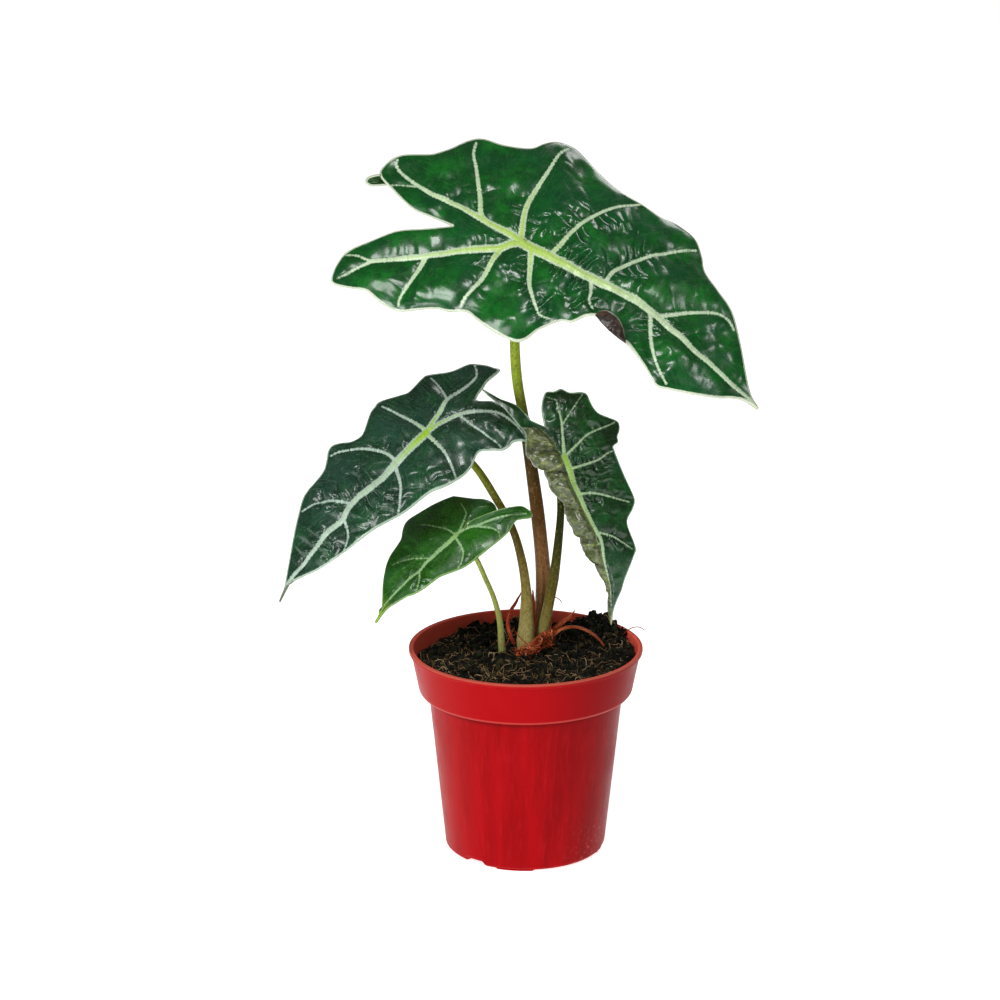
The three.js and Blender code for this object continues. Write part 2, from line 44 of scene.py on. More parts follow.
# The eye stands before the plant and looks down on it a little. Leaves are laid out in its upright plane.
outlook = {
    "distance": 2093.0,
    "tilt": math.radians(17.16),
    "aimX": -13.1,
    "aimZ": 186.4,
    "lens": 148.6,
    "sensor": 36,
    "farthest": 30,
}
rise = math.sin(outlook["tilt"])
run = math.cos(outlook["tilt"])


# A place in the eye's plane (how far right, up and near) as x, y, z: the offset from the aim, shrunk with
# nearness and turned down by the tilt.
def place(right, up, near):
    right, up, near = np.broadcast_arrays(*(np.asarray(way, float) for way in (right, up, near)))
    shrink = 1 - near / outlook["distance"]
    x = outlook["aimX"] + shrink * right
    y = shrink * up * rise - near * run
    z = outlook["aimZ"] + shrink * up * run + near * rise
    return np.stack([x, y, z], axis=-1)


# The eye: a long lens that looks along the eye plane's axis, turned down by the tilt.
def setCamera():
    camera = bpy.data.objects.new("eye", bpy.data.cameras.new("eye"))
    bpy.context.scene.collection.objects.link(camera)
    camera.data.lens = outlook["lens"]
    camera.data.sensor_width = outlook["sensor"]
    camera.data.clip_end = outlook["farthest"]
    camera.location = place(0, 0, outlook["distance"]) * metre
    camera.rotation_euler = (math.pi / 2 - outlook["tilt"], 0, 0)
    bpy.context.scene.camera = camera


# Smooth step from 0 at low to 1 at high: 3t²-2t³ of the clipped share.
def easeBetween(low, high, value):
    share = np.clip((value - low) / (high - low), 0, 1)
    return share * share * (3 - 2 * share)


# The cubic from start to end that leaves and arrives with the given slopes, at the share t of the way.
def cubic(start, end, leave, arrive, t):
    return (
        (2 * t**3 - 3 * t**2 + 1) * start + (t**3 - 2 * t**2 + t) * leave
        + (3 * t**2 - 2 * t**3) * end + (t**3 - t**2) * arrive
    )


# The lengths of a line's steps, and how far along the line each of its points lies.
def pacesOf(line):
    steps = np.linalg.norm(np.diff(line, axis=0), axis=1)
    return steps, np.concatenate([[0], np.cumsum(steps)])


# A smooth curve through the points, cut into equal steps. Each stretch is a cubic whose slope at a point is
# half the step from the point before it to the point after it.
def smoothLine(points, count, perStretch=16):
    points = np.asarray(points, float)
    before = np.vstack([points[:1], points[:-2]])[:, None]
    start = points[:-1][:, None]
    end = points[1:][:, None]
    after = np.vstack([points[2:], points[-1:]])[:, None]
    t = np.linspace(0, 1, perStretch, endpoint=False)[None, :, None]
    curve = cubic(start, end, (end - before) / 2, (after - start) / 2, t)
    curve = np.vstack([curve.reshape(-1, points.shape[1]), points[-1:]])
    walked = pacesOf(curve)[1]
    wanted = np.linspace(0, walked[-1], count)
    return np.stack([np.interp(wanted, walked, column) for column in curve.T], axis=1)


# Random values at the corners of a cubic lattice of that size, blended by the smooth step: -1 to 1. The
# lattice comes round again after so many cells.
def latticeNoise(points, size, seed, period=16):
    values = diceOf(seed).uniform(-1, 1, (period, period, period))
    scaled = points / size
    cells = np.floor(scaled).astype(int)
    part = scaled - cells
    part = part * part * (3 - 2 * part)
    total = np.zeros(points.shape[:-1])
    for corner in itertools.product((0, 1), repeat=3):
        weight = np.prod(np.where(corner, part, 1 - part), axis=-1)
        at = (cells + corner) % period
        total += weight * values[at[..., 0], at[..., 1], at[..., 2]]
    return total


# Places on a flat sheet as points of the lattice's floor.
def levelled(flat):
    return np.dstack([flat, np.zeros(flat.shape[:-1])])


# Evenly spaced turns round a full circle, the last one short of the first.
def fullTurn(count):
    return np.linspace(0, 2 * np.pi, count, endpoint=False)


# Vectors at the length 1.
def unit(vectors):
    return vectors / np.maximum(np.linalg.norm(vectors, axis=-1, keepdims=True), 1e-9)


# The way a closed-round grid faces: the change from row to row crossed with the change round the row.
def facing(grid):
    outward = np.gradient(grid, axis=0)
    roundRow = np.roll(grid, -1, axis=1) - np.roll(grid, 1, axis=1)
    return unit(np.cross(outward, roundRow))


# A closed skin: a first point, rings of equally many points, a last point.
def ringSkin(start, rings, end, marks=None):
    rows, around = rings.shape[:2]
    index = 1 + np.arange(rows * around).reshape(rows, around)
    beside = np.roll(index, -1, axis=1)
    last = 1 + rows * around
    quads = np.stack([index[:-1], index[1:], beside[1:], beside[:-1]], axis=-1).reshape(-1, 4)
    tris = np.concatenate([
        np.stack([np.zeros(around, int), index[0], beside[0]], axis=-1),
        np.stack([index[-1], np.full(around, last), beside[-1]], axis=-1),
    ])
    points = np.vstack([start, rings.reshape(-1, 3), end])
    spread = {
        name: np.concatenate([[grid[0].mean()], grid.ravel(), [grid[-1].mean()]])
        for name, grid in (marks or {}).items()
    }
    return {"points": points, "quads": quads, "tris": tris, "marks": spread}


# A sheet with two faces: the grid, and the same grid set in along its normals. Quads close its four edges.
def plateSkin(grid, thickness, marks):
    rows, columns = grid.shape[:2]
    normals = unit(np.cross(np.gradient(grid, axis=0), np.gradient(grid, axis=1)))
    front = grid.reshape(-1, 3)
    back = (grid - normals * thickness).reshape(-1, 3)
    index = np.arange(rows * columns).reshape(rows, columns)
    faces = np.stack([index[:-1, :-1], index[1:, :-1], index[1:, 1:], index[:-1, 1:]], axis=-1)
    faces = faces.reshape(-1, 4)
    border = np.concatenate([index[:-1, 0], index[-1, :-1], index[:0:-1, -1], index[0, :0:-1]])
    ahead = np.roll(border, -1)
    under = rows * columns
    edge = np.stack([ahead, border, border + under, ahead + under], axis=-1)
    quads = np.concatenate([faces, faces[:, ::-1] + under, edge])
    spread = {name: np.concatenate([values.ravel()] * 2) for name, values in marks.items()}
    points = np.vstack([front, back])
    return {"points": points, "quads": quads, "tris": np.zeros((0, 3), int), "marks": spread}


# Several skins as one; a mark that a skin lacks is 0 there.
def joined(skins):
    names = sorted({name for skin in skins for name in skin["marks"]})
    starts = np.concatenate([[0], np.cumsum([len(skin["points"]) for skin in skins])])[:-1]
    lacking = [np.zeros(len(skin["points"])) for skin in skins]
    marks = {
        name: np.concatenate([skin["marks"].get(name, zeros) for skin, zeros in zip(skins, lacking)])
        for name in names
    }
    return {
        "points": np.vstack([skin["points"] for skin in skins]),
        "quads": np.vstack([skin["quads"] + start for skin, start in zip(skins, starts)]),
        "tris": np.vstack([skin["tris"] + start for skin, start in zip(skins, starts)]),
        "marks": marks,
    }


# A skin becomes a piece that rides on the plant's one body and stands for the CAD nodes named.
def makePiece(name, skin, finish, nodes=()):
    mesh = bpy.data.meshes.new(name)
    corners = np.concatenate([skin["quads"].ravel(), skin["tris"].ravel()]).astype(np.int32)
    sizes = np.concatenate([np.full(len(skin["quads"]), 4), np.full(len(skin["tris"]), 3)])
    starts = np.concatenate([[0], np.cumsum(sizes)[:-1]]).astype(np.int32)
    mesh.vertices.add(len(skin["points"]))
    mesh.loops.add(len(corners))
    mesh.polygons.add(len(sizes))
    mesh.vertices.foreach_set("co", (skin["points"] * metre).astype(np.float32).ravel())
    mesh.loops.foreach_set("vertex_index", corners)
    mesh.polygons.foreach_set("loop_start", starts)
    mesh.update(calc_edges=True)
    mesh.shade_smooth()
    for mark, values in skin["marks"].items():
        mesh.attributes.new(mark, "FLOAT", "POINT").data.foreach_set("value", values.astype(np.float32))
    mesh.materials.append(finish)
    piece = bpy.data.objects.new(name, mesh)
    bpy.context.scene.collection.objects.link(piece)
    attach(piece, "root")
    if nodes:
        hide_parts(*nodes)
    print(f"{name}: {len(skin['quads']) * 2 + len(skin['tris'])} triangles")
    return piece


# A smooth curve through the stations: each stretch is a cubic whose end slopes weigh the steps beside it by
# the roots of their lengths.
def stationCurve(stations, count):
    stations = np.asarray(stations, float)
    padded = np.vstack([2 * stations[0] - stations[1], stations, 2 * stations[-1] - stations[-2]])
    share = np.linspace(0, len(stations) - 1, count)
    stretch = np.minimum(share.astype(int), len(stations) - 2)
    a, b, c, d = (padded[stretch + step] for step in range(4))
    gapA, gapB, gapC = (
        np.sqrt(np.linalg.norm(end - start, axis=1))[:, None] for start, end in ((a, b), (b, c), (c, d))
    )
    leave = ((b - a) / gapA - (c - a) / (gapA + gapB) + (c - b) / gapB) * gapB
    arrive = ((c - b) / gapB - (d - b) / (gapB + gapC) + (d - c) / gapC) * gapB
    return cubic(b, c, leave, arrive, (share - stretch)[:, None])


# An oval section carried along the curve through the stations (x, y, z, width, thickness), its width square
# to the way it faces. shape may change the radius by the share along (rows) and the turn (columns).
def stalkSkin(stations, around, count, face=(0, -1, 0), shape=None):
    stations = np.asarray(stations, float)
    centre = stationCurve(stations[:, :3], count)
    heading = unit(np.gradient(centre, axis=0))
    number = np.arange(len(stations))
    share = np.linspace(0, len(stations) - 1, count)
    wide, thick = (np.interp(share, number, sizes) / 2 for sizes in stations[:, 3:5].T)
    across = unit(np.cross(np.asarray(face, float), heading))
    front = np.cross(heading, across)
    turn = fullTurn(around)
    walked = pacesOf(centre)[1]
    along = np.broadcast_to((walked / walked[-1])[:, None], (count, around))
    girth = np.broadcast_to(turn[None], (count, around))
    swell = shape(along, girth) if shape else np.ones((count, around))
    offset = (
        across[:, None] * (wide[:, None] * np.cos(turn))[..., None]
        - front[:, None] * (thick[:, None] * np.sin(turn))[..., None]
    )
    rings = centre[:, None] + offset * swell[..., None]
    return ringSkin(centre[0], rings, centre[-1], {"along": along, "girth": girth / (2 * np.pi)})


# A colour by its screen values, 0 to 255, as the linear colour that a shader takes.
def paint(red, green, blue):
    shown = np.array([red, green, blue]) / 255
    linear = np.where(shown <= 0.04045, shown / 12.92, ((shown + 0.055) / 1.055) ** 2.4)
    return (*linear.tolist(), 1.0)


# The nodes of one finish. Every value handed to it is a socket, a number or a colour by its screen values.
class Paintbox:
    # A new material; each setting of its shader is given by the socket's name.
    def __init__(self, name, **own):
        self.material = bpy.data.materials.new(name)
        self.material.use_nodes = True
        self.tree = self.material.node_tree
        self.shader = self.tree.nodes["Principled BSDF"]
        for socket, value in own.items():
            self.shader.inputs[socket.replace("_", " ")].default_value = value
        self.where = self.add("TexCoord", {}, "Object")

    # Links another node's output to a socket, or sets the socket's own value.
    def feed(self, socket, value):
        if isinstance(value, bpy.types.NodeSocket):
            self.tree.links.new(value, socket)
        else:
            socket.default_value = paint(*value) if socket.type == "RGBA" else value

    # A node of a kind with its settings and inputs; gives one of its outputs.
    def add(self, kind, inputs, output=0, **settings):
        node = self.tree.nodes.new("ShaderNode" + kind)
        for key, value in settings.items():
            setattr(node, key, value)
        for key, value in inputs.items():
            self.feed(node.inputs[key], value)
        return node.outputs[output]

    # One of the skin's marks.
    def mark(self, name):
        return self.add("Attribute", {}, "Fac", attribute_name=name)

    # Arithmetic on two values, held to 0 to 1 if clamped; then the product and the sum.
    def maths(self, way, first, second=0.0, clamp=False):
        return self.add("Math", {0: first, 1: second}, operation=way, use_clamp=clamp)

    def times(self, first, second):
        return self.maths("MULTIPLY", first, second)

    def plus(self, first, second, clamp=False):
        return self.maths("ADD", first, second, clamp)

    # Two values as a place on a sheet.
    def vector(self, x, y):
        return self.add("CombineXYZ", {0: x, 1: y})

    # The smooth step of a value between low and high, laid out from first to last.
    def ease(self, value, low, high, first=0.0, last=1.0):
        inputs = {
            "Value": value, "From Min": low, "From Max": high, "To Min": first, "To Max": last,
        }
        return self.add("MapRange", inputs, interpolation_type="SMOOTHSTEP")

    # Noise of a size in millimetres on the object, or in its own units on the vector given.
    def noise(self, size, detail=2.0, rough=0.55, vector=None, stretch=None):
        spot = self.where if vector is None else vector
        if stretch:
            spot = self.add("Mapping", {"Vector": spot, "Scale": stretch})
        scale = 1 / (size * metre) if vector is None else 1 / size
        return self.add("TexNoise", {"Vector": spot, "Scale": scale, "Detail": detail, "Roughness": rough})

    # Two colours mixed: the first at the share 0, the second at 1.
    def blend(self, share, first, second):
        return self.add("Mix", {0: share, 6: first, 7: second}, 2, data_type="RGBA", clamp_factor=True)

    # Streaks that run along a stalk: noise on its girth and its length, each scaled.
    def streaks(self, roundBy, alongBy, detail, rough):
        spot = self.vector(self.times(self.mark("girth"), roundBy), self.times(self.mark("along"), alongBy))
        return self.noise(1.0, detail, rough, vector=spot)

    # Tints laid over a colour, one after another, each where its value passes from low to high, to a
    # strength.
    def veiled(self, colour, *veils):
        for tint, value, low, high, strength in veils:
            colour = self.blend(self.ease(value, low, high, 0.0, strength), colour, tint)
        return colour

    # The colour at a value, straight between stops of (position, colour).
    def ramp(self, value, stops):
        node = self.tree.nodes.new("ShaderNodeValToRGB")
        self.feed(node.inputs[0], value)
        steps = node.color_ramp.elements
        while len(steps) < len(stops):
            steps.new(0.5)
        for step, (position, colour) in zip(steps, stops):
            step.position = position
            step.color = paint(*colour)
        return node.outputs[0]

    # The way a skin faces when a height of 0 to 1 raises it by up to a depth in millimetres.
    def bump(self, height, depth, before=None):
        inputs = {"Height": height, "Distance": depth * metre, "Strength": 1.0}
        if before is not None:
            inputs["Normal"] = before
        return self.add("Bump", inputs)

    # Joins what is given to the shader; gives the material.
    def finish(self, colour, roughness=None, normal=None):
        self.feed(self.shader.inputs["Base Color"], colour)
        if roughness is not None:
            self.feed(self.shader.inputs["Roughness"], roughness)
        if normal is not None:
            self.feed(self.shader.inputs["Normal"], normal)
        return self.material


# An outline runs clockwise, as the eye sees it, from the cleft between the back lobes to the tip and back.
# A third number lifts the margin there towards the eye. A vein has its width at its foot and its end, and
# its path.
mainLeaf = {
    "joint": (11, 131, 27),
    "slope": (0.37, -0.53),  # along the midrib and across it, as is the droop
    "droop": (0.0012, 0.004),
    "ruffle": (9, 1.8),  # waves round the margin, and their size
    "bareMargin": (56.5, 87, 8),  # the margin isn't pale within 8 of this spot
    "around": 660,
    "rows": 120,
    "ribs": [
        [(11, 131), (20, 126), (50, 110), (65, 103), (80, 93), (100, 74.8), (120, 57.2), (131.2, 46.8)],
        [(11, 131), (-5.3, 140.6), (-25.4, 150.6), (-41, 159.4), (-50, 164.5), (-60, 166)],
        [(11, 131), (-13, 127), (-39, 123.6), (-66, 119.5), (-85.6, 112.3)],
    ],
    "toTip": [
        (-24, 139), (-34.8, 143.4), (-43.6, 147.2), (-50.5, 153.2), (-55.2, 158.2), (-58.6, 161.6, -1),
        (-60.6, 164.4, -1.5), (-60.4, 167.6, -1), (-56.4, 171.8), (-52.4, 174.1), (-48, 175.2),
        (-36, 175.4), (-31.7, 176.2), (-25.4, 178.2), (-16, 182.3), (-8.5, 183.2), (2.8, 179.9),
        (15.4, 178.4), (22.3, 180.7), (29, 181.6), (37, 178.9), (42.7, 174), (50.7, 165.3), (60.3, 157),
        (72.3, 150), (81.2, 143.7), (90, 139.5), (98.8, 132.5), (102.4, 123.7), (104, 115.7),
        (110.8, 106), (117.6, 95.7), (122, 79.6), (125.6, 60.4), (127.6, 53), (131.2, 46.8),
    ],
    "fromTip": [
        (131.2, 46.8), (123.6, 51), (116.4, 52), (110.8, 52), (98.8, 53.6), (86.7, 56), (81, 57.2),
        (78, 59.6), (73.5, 67.6), (67.5, 76, 1), (63.2, 81, 3), (56.2, 87.4, 5), (49.6, 93.4, 3),
        (43.5, 93.4, 1), (36.3, 90.4), (30.3, 91), (20, 86.8), (13.5, 82), (8.5, 80.7), (2.8, 82.6),
        (-4.7, 86.7), (-11.6, 91.7), (-17.3, 95.8), (-25.4, 95.8), (-32.3, 97), (-40, 96.7), (-51.7, 96),
        (-60, 100), (-67.4, 106), (-75.6, 107.5), (-83.7, 109.2), (-85.6, 112.3), (-82.5, 120),
        (-76.8, 126.5), (-64.3, 132), (-52.4, 136.5), (-38, 137.7), (-24, 139),
    ],
    "veins": [
        (6.0, 1.6, [(11, 131), (20, 126), (30, 120.5), (50, 110), (65, 103), (80, 93), (90, 83.6),
                    (100, 74.8), (110, 66.4), (120, 57.2), (130.5, 47.5)]),
        (4.6, 1.2, [(11, 131), (5.3, 135), (-5.3, 140.6), (-16, 146.5), (-25.4, 150.6), (-33.5, 154.4),
                    (-41, 159.4), (-47.3, 163.8), (-51, 167), (-52.7, 170), (-52, 172.6)]),
        (4.8, 2.0, [(11, 131), (5.3, 130), (-0.3, 128), (-13, 127), (-25.4, 126), (-39, 123.6),
                    (-56.7, 122), (-66, 121)]),
        (1.6, 0.7, [(-65, 121), (-70, 122.7), (-73, 124), (-78.7, 124)]),
        (1.8, 0.7, [(-65, 121), (-70, 118.6), (-75, 115.8), (-83, 111.7)]),
        (0.9, 0.5, [(-41, 159.4), (-50, 159.8), (-55, 159.5)]),
        (3.0, 1.2, [(-6.5, 141.3), (-9.7, 145), (-10, 152.5), (-11, 160), (-12.2, 169.4), (-13.5, 175),
                    (-12, 181)]),
        (3.8, 1.2, [(10.3, 132), (11.3, 138), (12.2, 144.3), (14, 150), (17.2, 155.6), (21, 161),
                    (25, 167), (28.3, 172.5), (30.7, 175.7), (34.7, 178)]),
        (2.8, 1.1, [(25, 123.5), (30, 128.5), (34.7, 134), (40.3, 139), (48.3, 144), (56.3, 147),
                    (64.3, 148.6), (70.7, 149.7)]),
        (2.3, 1.1, [(53, 108.8), (57, 115.2), (63.5, 119.2), (72.3, 122.4), (84.4, 125.2), (92.4, 126.3),
                    (99.6, 126)]),
        (2.2, 1.1, [(80, 93), (86.7, 94), (94, 95), (102, 94.8), (110, 94), (115.6, 90.8), (118.6, 86)]),
        (2.8, 1.0, [(-37.6, 123.6), (-41, 117.4), (-45, 111), (-48.6, 106), (-51, 102.3), (-51.7, 98)]),
        (3.5, 1.1, [(0.6, 128), (-4.7, 120), (-9, 112.3), (-14, 106), (-18, 101.7), (-20, 97.6)]),
        (3.6, 0.8, [(15.8, 127), (15.4, 120), (14.8, 113), (15, 108), (16.6, 102.3), (18.8, 96),
                    (20.4, 93.5), (24.8, 92.3)]),
        (2.4, 0.7, [(46, 111), (46, 105), (45, 100.4), (47.5, 96.5)]),
        (2.3, 1.0, [(76.3, 94), (76.3, 86), (77, 78), (79.5, 69), (82, 63), (84.3, 58.8)]),
    ],
    "relief": {
        "quilt": 2.0, "reach": 6.0, "pucker": 1.4, "crumple": 0.6, "pitch": 5.4, "around": (44, 114, 34),
        "least": 0.1, "swell": 1.5, "seed": 3,
    },
}

leftLeaf = {
    "joint": (-37, 33.5, 8), "slope": (0.4, 0.7), "droop": (0.003, 0.007), "ruffle": (8, 1.4),
    "around": 560, "rows": 100,
    "ribs": [
        [(-37, 33.5), (-52, 19.5), (-65, 6.3), (-80, -9.8), (-93, -24.5), (-107, -41.4), (-112.2, -51.3)],
        [(-37, 33.5), (-30, 44.4), (-22, 54.5), (-13, 62), (-0.3, 65.8)],
        [(-37, 33.5), (-22.7, 42), (-8, 43.5), (4.5, 38), (14.7, 30.6)],
    ],
    "toTip": [
        (-12.4, 51.2), (-10.2, 50.3), (-4.3, 50.2), (0, 48.7), (3.7, 46), (8, 40.8), (12.5, 35),
        (14.7, 30.6), (9, 30.2), (6, 29.2), (4.5, 27.4), (0.8, 25.5), (-5, 25.4), (-11, 24.3),
        (-14.6, 17.3), (-18.3, 13), (-23.4, 9.6), (-28.5, 7), (-34.4, 4.8), (-39.5, 1.2), (-44.7, -3.2),
        (-50.5, -7.3), (-58, -11.3), (-65.2, -15.4), (-72.5, -21), (-79, -26), (-85.8, -31),
        (-93, -35.5), (-100.4, -38.8), (-105.6, -41.4), (-108.8, -44.8), (-112.2, -51.3),
    ],
    "fromTip": [
        (-112.2, -51.3), (-109.6, -45), (-108.2, -37.7), (-105.6, -23), (-103.4, -12), (-100.4, -0.3),
        (-97.5, 4.8), (-93, 10), (-89.4, 15), (-88, 20.3), (-87.2, 24.7), (-85, 27.6), (-80.6, 29),
        (-75.5, 29.6), (-71, 32), (-69, 35), (-66, 43.7), (-63.7, 47), (-60.8, 50), (-50.5, 53.2),
        (-46, 55), (-39.5, 61.7), (-36, 63.5), (-25, 65.2), (-16, 68.8), (-11, 68.8), (-6.5, 68.2),
        (-3, 67), (-0.3, 65.8), (-6.5, 60.4), (-8.4, 57.5), (-11, 54), (-12.4, 51.2),
    ],
    "veins": [
        (5.0, 1.6, [(-37, 33.5), (-46, 25.4), (-52, 19.5), (-58, 13), (-65, 6.3), (-71, 2),
                    (-76.3, -3.2), (-80, -9.8), (-87.3, -17), (-93, -24.5), (-100.5, -33.3),
                    (-107, -41.4), (-111.5, -49.5)]),
        (3.4, 1.1, [(-37, 33.5), (-33.6, 39.3), (-30, 44.4), (-27, 50.3), (-24.8, 52.5), (-19.7, 55.8),
                    (-14.6, 59.8), (-11.6, 63.5), (-12.7, 68)]),
        (3.2, 0.9, [(-37, 33.5), (-30.7, 38), (-22.7, 42), (-16, 44.4), (-8, 44.8), (-0.7, 44),
                    (4.5, 41), (9.6, 36.4), (14, 30.5)]),
        (1.8, 0.9, [(-26.8, 51), (-30.7, 57.6), (-35, 61.7)]),
        (2.6, 1.0, [(-36.8, 34), (-40.3, 37), (-47, 41.5), (-53.5, 44.4), (-60, 47.4)]),
        (2.2, 0.9, [(-52.5, 19), (-56.4, 23), (-62, 25), (-71, 25.4), (-81, 24.3), (-85.8, 22.4)]),
        (2.0, 0.9, [(-75, -2), (-82, -0.7), (-88.7, -1), (-95.3, -2.5), (-100.5, -5.8)]),
        (1.7, 0.8, [(-21, 42.6), (-12.4, 37), (-6.5, 32.7), (-2, 29.8), (1.2, 26)]),
        (2.6, 1.0, [(-37.4, 33), (-33, 29), (-28.5, 24.6), (-25.6, 19.5), (-23.4, 14.4), (-22, 10.3)]),
        (2.3, 0.9, [(-53.5, 17.8), (-51.3, 11.4), (-50.2, 6.3), (-50.5, -0.3), (-51.6, -6.9)]),
        (1.8, 0.8, [(-79.5, -9), (-77.7, -15), (-77.3, -19.3), (-79, -25.2)]),
    ],
    "relief": {
        "quilt": 2.1, "reach": 5.0, "pucker": 1.9, "crumple": 1.1, "pitch": 6.4, "around": (-88, -8, 44),
        "least": 0.16, "swell": 1.6, "seed": 5,
    },
}

# The small leaf's near back lobe passes before the far one: its margin is lifted, and the far one's set
# back.
smallLeaf = {
    "joint": (-22, -17.5, 5), "slope": (0.3, 0.7), "droop": (0.004, 0.012), "ruffle": (7, 0.8),
    "around": 480, "rows": 80,
    "ribs": [
        [(-22, -17.5), (-30.5, -25), (-41, -36), (-50, -44.2), (-58.2, -52.8), (-63.2, -62.2)],
        [(-22, -17.5), (-11.4, -12.8), (0, -8.7), (16.3, -7.8)],
        [(-22, -17.5), (-20, -10), (-12, -4), (-3, -2.6)],
    ],
    "slit": {
        "line": [(-17, -12.1), (-14.1, -9.8), (-9.3, -7.6), (-4.7, -5.8), (-1.4, -4.6)],
        "drop": 1.5, "fade": 2.6, "startRamp": 3, "endRamp": 2,
    },
    "toTip": [
        (-17.6, -14.6), (-16.5, -12.4, 1), (-14, -10, 2), (-9.2, -7.9, 2.8), (-4.6, -6.1, 2.8),
        (-1, -4.9, 2.6), (2.2, -4.1, 2.2), (6.7, -3.3, 1.4), (10.8, -3, 0.6), (13.5, -4.2), (15.8, -6),
        (16.3, -7.8), (15, -9), (11.3, -9.5), (8.5, -10.2), (6.7, -12), (4, -16), (0, -19.6),
        (-4.6, -23.2), (-11.4, -28.7), (-16, -32.3), (-20.5, -34.8), (-29.6, -38.2), (-34, -41),
        (-38.7, -44.6), (-43.2, -47.3), (-47.7, -49), (-52.3, -51.8), (-56.8, -54.6), (-60, -57.9),
        (-63.2, -62.2),
    ],
    "fromTip": [
        (-63.2, -62.2), (-61.4, -57.5), (-60, -54.5), (-59.5, -43), (-58.6, -36.8), (-57.5, -32.3),
        (-55.5, -27.8), (-52.3, -23.2), (-50.2, -19.6), (-49.6, -16), (-48.4, -12.3), (-46, -9.6),
        (-41.8, -6.9), (-33.2, -1.9), (-25, 1.6), (-22.3, 1.9), (-13.7, 0.8, -1), (-9.2, 0.6, -1.6),
        (-5.5, -0.3, -2.4), (-2.4, -2.3, -3), (-1.7, -4.3, -3.2), (-4.8, -5.6, -3.2), (-9.4, -7.4, -3),
        (-14.3, -9.5, -2), (-16.9, -12, -1), (-17.6, -14.6),
    ],
    "veins": [
        (2.4, 0.6, [(-22, -17.5), (-25, -20.5), (-30.5, -25), (-34, -28.7), (-38.2, -32.3), (-41, -36),
                    (-45.5, -39.6), (-50, -44.2), (-54.6, -48.7), (-58.2, -52.8), (-62.4, -60)]),
        (1.7, 0.6, [(-22, -17.5), (-19.6, -15.6), (-16, -13.9), (-11.4, -12.8), (-6.9, -11), (0, -8.7),
                    (6.7, -7.4), (13.5, -6.9)]),
        (1.3, 0.7, [(-13.3, -13.3), (-6.9, -13.7), (-2.4, -14.9), (0, -16.9), (0, -19.2)]),
        (1.5, 0.7, [(-22.8, -18.6), (-20.5, -22.3), (-18.7, -25.5), (-19, -29), (-20, -32.8),
                    (-21.4, -34.6)]),
        (1.0, 0.5, [(-41, -36.2), (-40.7, -39), (-41.2, -42.8), (-42.3, -46)]),
        (0.9, 0.4, [(-23, -17.4), (-27.3, -14.6), (-32, -14), (-36.4, -13.3), (-40.5, -12.8)]),
        (0.9, 0.5, [(-35, -29.6), (-40.5, -29.5), (-45.5, -29.6), (-50.5, -31), (-54.6, -33.2)]),
        (1.1, 0.5, [(-20.5, -15.6), (-17, -6.4), (-18.7, -3.7), (-20, -1.5)]),
    ],
    "relief": {
        "quilt": 1.2, "reach": 4.0, "pucker": 0.4, "crumple": 0.8, "pitch": 4.8,
        "around": (-46, -38, 22), "least": 0.3, "swell": 1.1, "seed": 7,
    },
}

